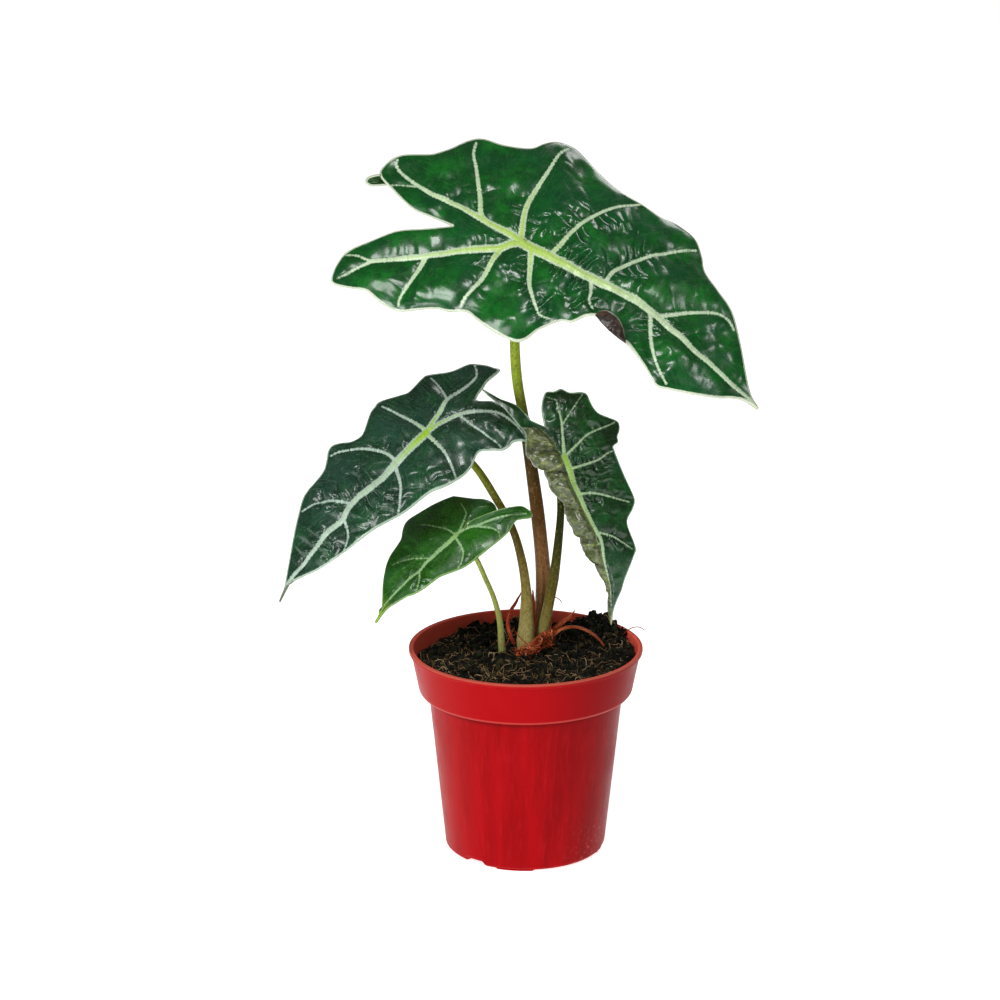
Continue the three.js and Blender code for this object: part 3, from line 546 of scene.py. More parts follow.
# The right leaf's left half is folded back over a crest line; its left back lobe points up as a narrow
# spike.
rightLeaf = {
    "joint": (32.6, 22, 14), "slope": (0.15, -0.25), "droop": (0.002, 0.004), "ruffle": (7, 0.9),
    "around": 560, "rows": 110,
    "ribs": [
        [(32.6, 22), (37.5, 8.2), (42.4, -3), (48.8, -16), (52.4, -28.6), (54.5, -40.6), (54.9, -63.2)],
        [(32.6, 22), (31.5, 35.8), (31, 46), (31.2, 56.2)],
        [(32.6, 22), (24, 29), (17, 36), (10, 42), (1, 49), (-9.5, 56.6)],
    ],
    "crest": {
        "line": ((15.2, 30.4), (54.8, -43.1), (55.4, -70)), "radius": 6.5, "turn": 2.4,
        "startsBelow": 28, "fullBelow": 12,
    },
    "pillows": {
        "border": [
            (55, -63), (55, -50), (54.2, -40), (51.8, -28), (48, -16), (41.6, -3), (36.2, 8.2),
            (31.4, 22), (27, 30), (21, 36), (-20, 40), (-60, 42),
        ],
        "notches": (60, 41, 25, 14.2, -4, -20.5, -33, -47, -60),
        "heights": (0.0, 1.5, 3.0, 3.1, 3.6, 2.7, 1.5, 0.4), "foldSize": 3.0, "foldTall": 0.9,
        "lobeShade": 0.55, "creaseShade": 0.8, "creaseWide": 1.3, "smoother": 0.9, "seed": 81,
    },
    "toTip": [
        (22.7, 37.2), (21.3, 44.3), (21.4, 49.2), (22.7, 53.5), (24.2, 54.8), (27.6, 54.9), (31.2, 56.2),
        (35.4, 54.3), (41, 54.5), (44, 53.4), (46, 49.2), (48.2, 45.7), (51, 43.5), (58.8, 40.4),
        (60.5, 38.2), (60.5, 35), (59.5, 32.2), (59.8, 29.4), (57.5, 27.3), (58, 24.8), (62.3, 14),
        (67.6, 2.5), (68.3, -1), (67.3, -4.5), (64.8, -9.5), (65, -13.7), (68.7, -23.6), (68, -28),
        (63.4, -40), (61.6, -46), (58, -54), (54.9, -63.2),
    ],
    "fromTip": [
        (54.9, -63.2), (49, -55), (43, -46), (34, -36), (25, -24), (18, -12), (13, -1), (11.5, 8),
        (12, 18), (13, 26), (13, 32.5), (9, 38.4), (5.5, 42.8), (1.6, 47), (-5.6, 52.5), (-9.5, 56.6),
        (-4.6, 54), (0, 51.4), (4.3, 49.8), (8.5, 47.9), (12, 44.6), (15, 41), (19.2, 38.8),
        (22.7, 37.2),
    ],
    "veins": [
        (4.2, 0.5, [(32.6, 22), (35.4, 15.3), (37.5, 8.2), (40.3, 2.5), (42.4, -3), (46, -11),
                    (48.8, -16), (51.3, -20.8), (52.4, -28.6), (53.4, -34), (54.5, -40.6), (55.5, -50),
                    (55.2, -61)]),
        (2.4, 0.9, [(32.6, 22), (32, 29.4), (31.5, 35.8), (31.2, 40), (29.8, 45), (28.4, 50.6)]),
        (1.2, 0.8, [(31.4, 38), (36, 45), (39.7, 50.6), (41.8, 53.5)]),
        (0.7, 0.4, [(28.4, 50.6), (23, 52.4)]),
        (1.8, 1.0, [(33.2, 22.4), (39.7, 28.7), (44, 33), (49.6, 35.8), (55.2, 38), (58, 39.3)]),
        (2.0, 1.0, [(35, 15.6), (41, 17.4), (47.4, 19.5), (51, 21), (54.5, 23.8), (57, 24.8)]),
        (1.8, 0.9, [(40.5, 3), (46, 3.6), (51, 2.9), (58, 1), (65.8, -1)]),
        (1.6, 0.9, [(48.8, -16.3), (54.5, -17.6), (58.8, -19.3), (63.7, -22.5), (67.3, -25)]),
        (1.3, 0.8, [(33, 20), (29.8, 16.8), (25.5, 15), (20, 13.6), (12, 13)]),
        (1.0, 0.6, [(42.6, -4.6), (39.7, -4.4), (35.4, -3.9), (28, -3.2), (20, -6), (15, -6)]),
        (1.3, 0.8, [(51.3, -21.4), (49, -22.9), (45.3, -22.2), (38, -25), (30, -30)]),
        (0.8, 0.5, [(30.5, 24), (26, 27.5), (22, 29.5), (17, 31), (13, 30.5)]),
    ],
    "relief": {
        "quilt": 1.5, "reach": 3.6, "pucker": 0.5, "crumple": 2.7, "pitch": 4.6, "around": (52, -6, 46),
        "least": 0.5, "swell": 1.0, "seed": 9,
    },
}


# A point's way out of a crest line's stretch, and how far past the stretch it lies.
def pastStretch(start, end, right, up):
    outward = unit(np.array([end[1] - start[1], start[0] - end[0]], float))
    return outward, (right - start[0]) * outward[0] + (up - start[1]) * outward[1]


# Points past the crest are laid back round it: an arc of the crest's radius first, then straight on.
def foldBack(right, up, near, crest):
    top, knee, foot = crest["line"]
    upperWay, upperReach = pastStretch(top, knee, right, up)
    lowerWay, lowerReach = pastStretch(knee, foot, right, up)
    upperFirst = upperReach < lowerReach
    outward = np.where(upperFirst[..., None], upperWay, lowerWay)
    past = np.maximum(0, np.where(upperFirst, upperReach, lowerReach) + crest["radius"])
    turned = np.minimum(past / crest["radius"], crest["turn"])
    straight = past - turned * crest["radius"]
    sideways = crest["radius"] * np.sin(turned) + straight * np.cos(turned) - past
    deep = crest["radius"] * (1 - np.cos(turned)) + straight * np.sin(turned)
    strength = 1 - easeBetween(crest["fullBelow"], crest["startsBelow"], up)
    return (
        right + sideways * strength * outward[..., 0],
        up + sideways * strength * outward[..., 1],
        near - deep * strength,
    )


# The far back lobe's edge is tucked down behind the near one's, most at the slit and less above it.
def tucked(right, up, near, slit):
    line = np.array(slit["line"], float)
    above = up - np.interp(right, line[:, 0], line[:, 1])
    ends = easeBetween(line[0, 0], line[0, 0] + slit["startRamp"], right)
    ends = ends * easeBetween(line[-1, 0] + slit["endRamp"], line[-1, 0], right)
    return right, up - slit["drop"] * ends * np.exp(-((above / slit["fade"]) ** 2)) * (above > 0), near


# The margin's points, turned to run anticlockwise so that the blade faces the eye.
def marginOf(leaf, around):
    half = around // 2
    edges = []
    for edge in (leaf["toTip"], leaf["fromTip"]):
        lifted = [(*spot, 0) if len(spot) == 2 else spot for spot in edge]
        edges.append(smoothLine(lifted, half + 1)[:half])
    return np.vstack(edges)[::-1]


# The least distance from each point to a line of straight stretches, and how far along the line that is.
def nearestOn(line, flat):
    steps, walked = pacesOf(line)
    best = np.full(flat.shape[:-1], np.inf)
    walk = np.zeros(flat.shape[:-1])
    for start, stop, before, step in zip(line[:-1], line[1:], walked, steps):
        way = (stop - start) / step
        share = np.clip((flat - start) @ way, 0, step)
        away = np.linalg.norm(flat - start - share[..., None] * way, axis=-1)
        nearer = away < best
        best = np.where(nearer, away, best)
        walk = np.where(nearer, before + share, walk)
    return best, walk


# How every blade's grid of spokes is laid, as shares, counts and powers.
spokeForm = {
    "ribPoints": 161, "rowPower": 0.9, "partPower": 1.7, "ribReach": 0.95, "straightShare": 0.3,
    "evenOver": 9, "clearShare": 0.1, "thinned": 3, "rounds": 40, "pace": 0.5, "marginPower": 6,
}


# Spokes from the joint to the margin. Each first runs along the leaf's rib that is nearest to its end, and
# parts from it with a power of its share of the way. Where a stretch of margin changes ribs, spokes run
# straight.
def spokes(leaf, margin, rows):
    around = len(margin)
    ribPoints, evenOver = spokeForm["ribPoints"], spokeForm["evenOver"]
    ribs = [smoothLine(path, ribPoints) for path in leaf["ribs"]]
    share = np.linspace(0, 1, ribPoints)
    out = (((np.arange(rows) + 1) / rows) ** spokeForm["rowPower"])[:, None]
    peaks = np.array([np.linalg.norm(margin - rib[-1], axis=1).argmin() for rib in ribs])
    order = np.argsort(peaks)
    grid = np.zeros((rows, around, 2))
    for first, second in zip(order, np.roll(order, -1)):
        last = peaks[second] + around * (peaks[second] < peaks[first])
        stretch = np.arange(peaks[first], last + 1) % around
        skip = int(len(stretch) * spokeForm["clearShare"])
        valley = skip + np.linalg.norm(margin[stretch] - ribs[0][0], axis=1)[skip:-skip].argmin()
        for rib, side in ((ribs[first], stretch[valley::-1]), (ribs[second], stretch[valley:])):
            ends = margin[side]
            nearest = np.linalg.norm(ends[:, None] - rib, axis=-1).argmin(axis=1) / (ribPoints - 1)
            start = easeBetween(0, spokeForm["straightShare"], np.linspace(0, 1, len(side)))
            padded = np.pad(np.maximum.accumulate(nearest) * start, evenOver // 2, "edge")
            anchor = np.convolve(padded, np.ones(evenOver) / evenOver, "valid") * spokeForm["ribReach"]
            passed = np.stack([np.interp(out * anchor, share, column) for column in rib.T], axis=-1)
            left = np.stack([np.interp(anchor, share, column) for column in rib.T], axis=-1)
            grid[:, side] = passed + (ends - left) * (out ** spokeForm["partPower"])[..., None]
    return grid


# The grid evened out: each inner point goes part of the way to the mean of its neighbours, weighed so that
# the grid's two directions stay even.
def evened(grid, joint):
    grid = np.concatenate([np.broadcast_to(joint, (1, *grid.shape[1:])), grid])
    for _ in range(spokeForm["rounds"]):
        roundRow = np.roll(grid, -1, axis=1) - np.roll(grid, 1, axis=1)
        outward = grid[2:] - grid[:-2]
        alpha = (roundRow[1:-1] ** 2).sum(axis=-1, keepdims=True)
        gamma = (outward**2).sum(axis=-1, keepdims=True)
        beta = (roundRow[1:-1] * outward).sum(axis=-1, keepdims=True)
        beside = (np.roll(grid, -1, axis=1) + np.roll(grid, 1, axis=1))[1:-1]
        wanted = alpha * (grid[2:] + grid[:-2]) + gamma * beside - beta * (roundRow[2:] - roundRow[:-2]) / 2
        grid[1:-1] += spokeForm["pace"] * (wanted / (2 * (alpha + gamma)) - grid[1:-1])
    return grid


# The blade laid flat: a third as many spokes and rows, evened out, then filled in and pulled onto the true
# margin.
def flatBlade(leaf, margin):
    rows, thinned = leaf["rows"], spokeForm["thinned"]
    joint = np.array(leaf["joint"][:2], float)
    coarse = evened(spokes(leaf, margin[::thinned, :2], rows // thinned), joint)
    coarse = np.concatenate([coarse, coarse[:, :1]], axis=1)
    steps = np.arange(leaf["around"]) / thinned
    number = np.arange(coarse.shape[1])
    layers = coarse.transpose(2, 0, 1)
    across = np.stack([[np.interp(steps, number, row) for row in layer] for layer in layers])
    out = (np.arange(rows) + 1) / rows
    level = out * (len(coarse) - 1)
    below = np.minimum(level.astype(int), len(coarse) - 2)
    part = (level - below)[None, :, None]
    filled = (across[:, below] * (1 - part) + across[:, below + 1] * part).transpose(1, 2, 0)
    return filled + (margin[:, :2] - filled[-1]) * (out ** spokeForm["marginPower"])[:, None, None]


# How every blade is built up, in millimetres. A reach or fade is the distance over which a thing dies away.
bladeForm = {
    "liftFade": 9, "ruffleFade": 12, "thick": 0.55, "marginThicker": 0.5, "marginReach": 0.8,
    "veinProud": 0.16, "veinFlatFrom": 3, "ribDeep": 1.1, "ribReach": 90, "beadOut": 0.45,
    "jointProud": 0.3, "jointDeep": 1.4, "bareMarginLoss": 4, "backRowStep": 5,
}


# The bare blade: nearness is a slope and a droop along and across the midrib, plus the margin's own lift
# and a wave that die away inwards. Then the fold or the tuck, if the leaf has one.
def bareBlade(leaf):
    margin = marginOf(leaf, leaf["around"])
    flat = flatBlade(leaf, margin)
    closed = np.vstack([margin, margin[:1]])
    rim, walk = nearestOn(closed[:, :2], flat)
    lengths = pacesOf(closed[:, :2])[1]
    waves, size = leaf["ruffle"]
    lifted = np.clip(1 - rim / bladeForm["liftFade"], 0, 1) ** 2
    ruffled = np.clip(1 - rim / bladeForm["ruffleFade"], 0, 1) ** 2
    near = leanOf(leaf, flat)
    near += np.interp(walk, lengths, closed[:, 2]) * lifted
    near += size * ruffled * np.sin(2 * np.pi * waves * walk / lengths[-1])
    spots = (flat[..., 0], flat[..., 1], near)
    if "crest" in leaf:
        spots = foldBack(*spots, leaf["crest"])
    if "slit" in leaf:
        spots = tucked(*spots, leaf["slit"])
    return flat, place(*spots), rim


# How near the eye a blade's middle sheet lies at a place of its outline.
def leanOf(leaf, flat):
    jointRight, jointUp, jointNear = leaf["joint"]
    tip = leaf["toTip"][-1]
    midrib = unit(np.array([tip[0] - jointRight, tip[1] - jointUp]))
    right, up = flat[..., 0] - jointRight, flat[..., 1] - jointUp
    along = right * midrib[0] + up * midrib[1]
    across = up * midrib[0] - right * midrib[1]
    slope, droop = leaf["slope"], leaf["droop"]
    return jointNear + slope[0] * along + slope[1] * across - droop[0] * along**2 - droop[1] * across**2


# The way a blade faces at its joint: its steps to the right and upwards, crossed.
def squareOf(leaf):
    spots = np.array(leaf["joint"][:2], float) + np.array([(0, 0), (0.5, 0), (0, 0.5)])
    here, aside, above = place(spots[:, 0], spots[:, 1], leanOf(leaf, spots))
    return unit(np.cross(aside - here, above - here))


# For each point: how far it lies outside the nearest vein's pale band, how far along that vein it is, and
# how much farther the second nearest vein is. Each vein starts its count of millimetres apart, so that
# patterns differ.
def veinField(flat, veins, spacing=2.5, taper=0.8, apart=37):
    edges, walks = [], []
    for foot, end, path in veins:
        length = pacesOf(np.asarray(path, float))[0].sum()
        line = smoothLine(path, max(3, int(length / spacing)))
        away, walk = nearestOn(line, flat)
        wide = foot + (end - foot) * (walk / walk.max()) ** taper
        edges.append(away - wide / 2)
        walks.append(walk)
    edges, walks = np.stack(edges), np.stack(walks)
    nearest = edges.argmin(axis=0)[None]
    edge = np.take_along_axis(edges, nearest, 0)[0]
    walk = np.take_along_axis(walks, nearest, 0)[0]
    return edge, walk + apart * nearest[0], np.partition(edges, 1, axis=0)[1] - edge


# What all reliefs share, in millimetres: how far the margin and the veins calm them, the sizes of the
# lattices that move them, and the height of each.
reliefForm = {
    "calmRim": 4, "calmVein": 0.8, "calmFar": 14, "calmBetween": 2.0, "patch": 10, "calmPatch": 0.15,
    "warp": (9, 3.0), "fineWarp": (4, 0.7), "bend": (5, 1.6), "swell": 15, "fineSwell": (7, 0.5),
    "ridgePower": 0.8, "ridgeTall": 2.4, "crumpleTall": 2, "crumpleSize": 0.9, "crumpleMiddle": 0.3,
}


# How far the skin stands out: quilted between the veins and gently swelling. Round one spot it is puckered
# as well, in sharp broken ridges square to the veins and in crumpled ones, the absolute value of lattice
# noise.
def bladeRelief(flat, edge, walk, room, rim, relief):
    form = reliefForm
    outside = np.maximum(edge, 0)
    level = levelled(flat)
    seed = relief["seed"]

    def noise(size, step, spots=level):
        return latticeNoise(spots, size, seed + step)

    calmRim = 1 - np.exp(-rim / form["calmRim"])
    quilt = relief["quilt"] * (1 - np.exp(-outside / relief["reach"])) * calmRim
    warpSize, warpBy = form["warp"]
    fineSize, fineBy = form["fineWarp"]
    warp = noise(warpSize, 0) * warpBy + noise(fineSize, 3) * fineBy
    patch = easeBetween(-0.45, 0.3, noise(form["patch"], 1))
    right, up, spread = relief["around"]
    gap = np.hypot(flat[..., 0] - right, flat[..., 1] - up) / spread
    strength = relief["least"] + (1 - relief["least"]) * np.exp(-(gap**2))
    strength = strength * (form["calmPatch"] + (1 - form["calmPatch"]) * patch)
    between = easeBetween(0, form["calmBetween"], room) * (1 - np.exp(-outside / form["calmVein"]))
    between = between * np.exp(-outside / form["calmFar"]) * calmRim
    ridge = np.abs(np.sin(np.pi * (walk + warp) / relief["pitch"])) ** form["ridgePower"] - 0.5
    bendSize, bendBy = form["bend"]
    bent = level + bendBy * np.stack([noise(bendSize, 6), noise(bendSize, 7), 0 * rim], axis=-1)
    crumple = form["crumpleMiddle"] - np.abs(noise(relief["pitch"] * form["crumpleSize"], 5, bent))
    pucker = relief["pucker"] * form["ridgeTall"] * ridge + relief["crumple"] * form["crumpleTall"] * crumple
    swellSize, swellShare = form["fineSwell"]
    swell = relief["swell"] * (noise(form["swell"], 2) + swellShare * noise(swellSize, 4)) * calmRim
    return quilt + strength * between * pucker + swell


# Where a half of the blade shows its underside: beyond a border line, left of it. It is puffed there into
# pillows:
# each is a root of a sine between two notches, with lumps and crosswise folds on it, and sinks to nothing at
# the border. The creases at the notches and the lobe that points up are marked for painted shade.
def puffed(flat, pillows):
    border = np.array(pillows["border"], float)
    right, up = flat[..., 0], flat[..., 1]
    beyond = np.interp(up, border[:, 1], border[:, 0]) - right
    notches = np.array(pillows["notches"][::-1], float)
    number = np.clip(np.searchsorted(notches, up) - 1, 0, len(notches) - 2)
    share = np.clip((up - notches[number]) / (notches[number + 1] - notches[number]), 0, 1)
    tall = np.array(pillows["heights"][::-1])[number]
    level = levelled(flat)
    seed = pillows["seed"]
    lumps = 1 - 1.5 * np.abs(latticeNoise(level, 7, seed)) + 0.25 * latticeNoise(level, 4, seed + 1)
    folds = 0.4 - np.abs(latticeNoise(level * (0.5, 1, 1), pillows["foldSize"], seed + 2))
    bulge = tall * (np.sin(np.pi * share) ** 0.5) * (0.65 + 0.5 * lumps)
    bulge = bulge + pillows["foldTall"] * folds * np.minimum(tall, 1)
    toNotch = np.abs(up[..., None] - notches).min(axis=-1) + 0.8 * latticeNoise(level, 5, seed + 3)
    underside = easeBetween(-0.3, 0.5, beyond)
    # painted shade on the lobe that points up and in the creases at the notches
    lobeShade = pillows["lobeShade"] * easeBetween(18, 8, right) * easeBetween(36, 44, up)
    crease = pillows["creaseShade"] * np.exp(-np.clip(toNotch, 0, 9) / pillows["creaseWide"])
    return underside, bulge * easeBetween(0.2, 3.0, beyond), np.maximum(lobeShade, underside * crease)


# A blade is a closed skin: the face with its relief, a beaded margin, and the back with its ribs standing
# out. The back has fewer rows, so it follows the lowest relief of the rows between.
def bladeSkin(leaf, extras=()):
    form = bladeForm
    flat, bare, rim = bareBlade(leaf)
    edge, walk, room = veinField(flat, leaf["veins"])
    normals = facing(bare)
    relief = bladeRelief(flat, edge, walk, room, rim, leaf["relief"])
    underside, shade = np.zeros_like(edge), np.zeros_like(edge)
    if "pillows" in leaf:
        underside, bulge, shade = puffed(flat, leaf["pillows"])
        relief = relief * (1 - leaf["pillows"]["smoother"] * underside) + bulge
    paintedRim = rim
    if "bareMargin" in leaf:
        right, up, reach = leaf["bareMargin"]
        away = np.hypot(flat[..., 0] - right, flat[..., 1] - up)
        paintedRim = rim + form["bareMarginLoss"] * easeBetween(reach + 2, reach - 2, away)
    fromJoint = np.linalg.norm(flat - np.array(leaf["joint"][:2]), axis=-1)
    proud = form["veinProud"] * np.clip(-edge, 0, form["veinFlatFrom"])
    thick = form["thick"] + form["marginThicker"] * np.exp(-rim / form["marginReach"])
    underRib = form["ribDeep"] * easeBetween(0, 1.6, -edge) * easeBetween(0, 6, rim)
    underRib = underRib * np.exp(-fromJoint / form["ribReach"])
    step = form["backRowStep"]
    backRows = np.arange(leaf["rows"] - 1, 0, -step)
    padded = np.pad(relief, ((step, step), (0, 0)), mode="edge")
    lowest = np.lib.stride_tricks.sliding_window_view(padded, 2 * step + 1, axis=0).min(axis=-1)
    front = bare + normals * (relief + proud)[..., None]
    back = bare + normals * (lowest - thick - underRib)[..., None]
    bead = (front[-1] + back[-1]) / 2 + unit(front[-1] - front[-2]) * form["beadOut"]
    rings = np.concatenate([front, bead[None], back[-1][None], back[backRows]])
    marks = {
        "veinEdge": edge, "alongVein": walk, "rim": paintedRim, "fromJoint": fromJoint,
        "underside": underside, "shade": shade,
    }
    marks = {
        name: np.concatenate([grid, grid[-1:], grid[-1:], grid[backRows]]) for name, grid in marks.items()
    }
    marks["underside"][-len(backRows) - 1:] = 1.0
    joint = place(*leaf["joint"])
    square = unit(normals[0].mean(axis=0))
    skin = ringSkin(joint + square * form["jointProud"], rings, joint - square * form["jointDeep"], marks)
    return joined([skin, *extras])


# The marks of a trim: one value or a grid for each, spread over the trim's grid and turned over with it.
def trimMarks(shape, **given):
    return {name: np.broadcast_to(values, shape)[::-1].astype(float) for name, values in given.items()}


curl = {
    "crease": [(48.2, 93.8), (51.3, 89.9), (55.2, 86.0), (59.2, 82.5), (63.6, 79.3)],
    "lip": [(49.2, 94.8), (52.4, 96.4), (55.6, 95.7), (59.6, 92.8), (62.2, 88.2), (63.9, 80.2)],
    "rows": 16, "columns": 40, "lift": 5.6, "bulge": 3.0, "lumps": (2.6, 0.9), "thick": 0.6,
    "lipWide": 9, "seed": 85,
}


# The main leaf's margin curls up over the face below the midrib, so its brown underside shows. The curl
# bulges towards the eye between the crease and the margin, by the sines of its two shares, and is lumpy. Its
# shade mark is painted shade, darkest at the crease.
def marginCurl(leaf):
    crease, lip = (smoothLine(curl[line], curl["columns"]) for line in ("crease", "lip"))
    share = np.linspace(0, 1, curl["rows"])[:, None]
    spots = crease[None] * (1 - share[..., None]) + lip[None] * share[..., None]
    ends = np.sin(np.pi * np.linspace(0.02, 0.98, curl["columns"]))[None] ** 0.6
    lift = curl["lift"] + curl["bulge"] * np.sin(np.pi * (0.12 + 0.72 * share)) * ends
    lumpSize, lumpTall = curl["lumps"]
    lift = lift + lumpTall * latticeNoise(levelled(spots), lumpSize, curl["seed"]) * ends
    grid = place(spots[..., 0], spots[..., 1], leanOf(leaf, spots) + lift)
    # shade: painted shade over the curl, darkest at the crease
    marks = trimMarks(
        lift.shape, veinEdge=6.0, alongVein=spots[..., 0], rim=(1 - share) * curl["lipWide"], fromJoint=60.0,
        underside=1.0, shade=0.95 - 0.6 * share**2,
    )
    return plateSkin(grid[::-1], curl["thick"], marks)


roll = {
    "loop": [
        (-46, 156.8), (-52, 158.7), (-57, 159.4), (-61.5, 159.0), (-66.0, 159.2), (-68.4, 161.2),
        (-67.4, 163.6), (-64.2, 164.9), (-61.0, 165.4),
    ],
    "middle": (-57.0, 161.6), "columns": 70, "rows": 12, "depth": 5, "pinch": 0.96, "setBack": 2,
    "thick": 1.0,
}


# The main leaf's upper lobe ends in a small roll, seen end on: a loop carried back from the eye, narrowing.
def lobeRoll(leaf):
    loop = smoothLine(roll["loop"], roll["columns"])
    depth = np.linspace(0, roll["depth"], roll["rows"])[:, None]
    middle = np.array(roll["middle"])
    narrowed = 1 - roll["pinch"] * (depth / roll["depth"]) ** 1.3
    spots = middle + (loop[None] - middle) * narrowed[..., None]
    grid = place(spots[..., 0], spots[..., 1], leanOf(leaf, loop).mean() - roll["setBack"] - depth)
    marks = trimMarks(
        grid.shape[:2], veinEdge=6.0, alongVein=0.0, rim=depth, fromJoint=80.0, underside=0.2, shade=0.0,
    )
    return plateSkin(grid[::-1], roll["thick"], marks)


# In each look the pale fibrous veil is a painted sheen that stands for a soft reflection, and the shade
# colour is painted shade.
leafLooks = {
    "main": {
        "deep": (5, 64, 22), "bright": (14, 110, 28), "cool": (5, 70, 38), "band": (208, 230, 194),
        "core": (190, 224, 104), "coreReach": 95.0, "feather": 0.9, "margin": (206, 216, 192),
        "marginWide": 0.7, "under": (40, 20, 10), "underBand": (150, 108, 72), "speck": (34, 122, 44),
        "gloss": (0.19, 0.31), "slimmer": 0.0, "shade": (14, 8, 4), "backDull": 0.34,
        "paintedSheen": (96, 136, 92), "paintedSheenShare": 0.2, "stain": (40, 132, 18), "agedFrom": (142, 150),
        "aged": (176, 176, 120),
    },
    "left": {
        "deep": (8, 44, 28), "bright": (18, 80, 42), "cool": (30, 70, 56), "band": (192, 214, 198),
        "core": (170, 216, 50), "coreReach": 28.0, "feather": 0.9, "margin": (168, 190, 168),
        "marginWide": 0.55, "under": (70, 66, 44), "underBand": (140, 146, 110), "speck": (90, 124, 84),
        "gloss": (0.22, 0.36), "slimmer": 0.1, "shade": (20, 24, 12), "backDull": 0.2,
        "paintedSheen": (132, 158, 140), "paintedSheenShare": 0.26, "stain": (140, 134, 44), "agedFrom": (106, 114),
        "aged": (120, 96, 70),
    },
    "small": {
        "deep": (3, 66, 4), "bright": (24, 112, 12), "cool": (34, 92, 40), "band": (150, 190, 132),
        "core": (150, 190, 40), "coreReach": 16.0, "feather": 0.8, "margin": (120, 160, 90),
        "marginWide": 0.4, "under": (78, 84, 44), "underBand": (150, 160, 110), "speck": (110, 150, 20),
        "gloss": (0.26, 0.4), "slimmer": 0.05, "shade": (20, 30, 8), "backDull": 0.2,
        "paintedSheen": (112, 160, 90), "paintedSheenShare": 0.34, "stain": (120, 160, 20), "agedFrom": (46, 62),
        "aged": (150, 186, 24),
    },
    # On this leaf the under colours, dull olive with pale patches, also paint the folded band: partly its
    # own colour, partly painted reflection and highlights of its glossy face.
    "right": {
        "deep": (2, 42, 16), "bright": (10, 86, 28), "cool": (12, 60, 38), "band": (172, 200, 160),
        "core": (158, 200, 70), "coreReach": 60.0, "feather": 0.8, "margin": (146, 176, 146),
        "marginWide": 0.4, "under": (72, 82, 52), "underBand": (156, 166, 96), "speck": (90, 110, 60),
        "gloss": (0.28, 0.4), "slimmer": 0.18, "shade": (14, 20, 8), "backDull": -0.04,
        "paintedSheen": (96, 136, 104), "paintedSheenShare": 0.16, "stain": (110, 84, 44), "agedFrom": (80, 90),
        "aged": (160, 150, 70),
    },
}


# Green skin mottled deep and bright, with a pale fibrous veil that is a painted sheen for a soft reflection,
# and stains, pale bands with ragged edges along the veins and a pale margin. The underside is dull and
# mottled, and painted shade darkens creases, folds and the curl.
def leafFinish(name, look):
    box = Paintbox(name, Roughness=0.3, Specular_IOR_Level=0.42, Coat_Weight=0.3, Coat_Roughness=0.14)
    edge, walk, rim = box.mark("veinEdge"), box.mark("alongVein"), box.mark("rim")
    away, under = box.mark("fromJoint"), box.mark("underside")
    stretched = box.vector(walk, box.times(edge, 0.35))
    ragged = box.noise(1.1, 3.0, 0.65, vector=stretched)
    torn = box.times(box.maths("SUBTRACT", ragged, 0.5), look["feather"] * 2.4)
    band = box.ease(box.plus(box.plus(edge, look["slimmer"]), torn), 0.3, -0.35)
    patches = box.ease(box.noise(15, 5.0, 0.7), 0.38, 0.68)
    stipple = box.noise(0.9, 4.0, 0.75)
    fibrous = box.noise(1.0, 4.0, 0.7, vector=box.vector(box.times(walk, 0.14), edge))
    skin = box.veiled(
        box.blend(patches, look["deep"], look["bright"]),
        (look["cool"], box.noise(24, 2.0, 0.5), 0.45, 0.62, 0.6),
        (look["deep"], edge, 7.0, 0.6, 0.45),
        (look["speck"], stipple, 0.45, 0.7, 0.3),
        (look["deep"], stipple, 0.5, 0.3, 0.3),
        # a pale fibrous painted sheen, standing for a soft reflection on the glossy skin
        (look["paintedSheen"], fibrous, 0.5, 0.72, look["paintedSheenShare"]),
        (look["stain"], box.noise(4, 4.0, 0.7), 0.68, 0.76, 0.6),
    )
    core = box.times(box.ease(edge, -0.35, -1.5), box.ease(away, look["coreReach"], 0.0, 0.2, 1.0))
    pale = box.blend(core, look["band"], look["core"])
    pale = box.veiled(pale, (look["bright"], box.noise(0.7, 3.0, 0.6, vector=stretched), 0.4, 0.8, 0.4))
    hemEdge = box.plus(rim, box.times(torn, 0.3))
    hem = box.ease(hemEdge, look["marginWide"] + 0.25, look["marginWide"] - 0.25)
    top = box.blend(hem, box.blend(band, skin, pale), look["margin"])
    aged = box.times(box.ease(away, *look["agedFrom"]), box.ease(box.noise(5, 2.0), 0.3, 0.6, 0.6, 1.0))
    top = box.blend(aged, top, look["aged"])
    mottle = box.noise(1.8, 4.0, 0.75, stretch=(0.6, 1, 1))
    dull = box.veiled(look["under"], (look["underBand"], mottle, 0.44, 0.68, 0.55))
    dull = box.blend(box.times(band, 0.85), dull, look["underBand"])
    dull = box.blend(box.times(hem, 0.5), dull, look["margin"])
    # painted shade in creases, folds and the curl
    shade = box.times(box.mark("shade"), box.ease(box.noise(1.8, 4.0, 0.75), 0.4, 0.6, 0.3, 1.0))
    colour = box.blend(shade, box.blend(under, top, dull), look["shade"])
    rough = box.plus(box.ease(box.noise(6, 3.0, 0.6), 0.3, 0.7, *look["gloss"]), box.times(band, 0.2))
    rough = box.plus(rough, box.times(under, look["backDull"]), clamp=True)
    return box.finish(colour, rough, box.bump(box.noise(0.9, 2.0, 0.6), 0.03))


# A blade with its trims, in its own finish, stands for the CAD's blade of that name.
def growLeaf(name, leaf, extras=()):
    finish = leafFinish(f"{name} leaf", leafLooks[name])
    makePiece(f"{name}_leaf_blade", bladeSkin(leaf, extras), finish, [f"{name}_blade"])


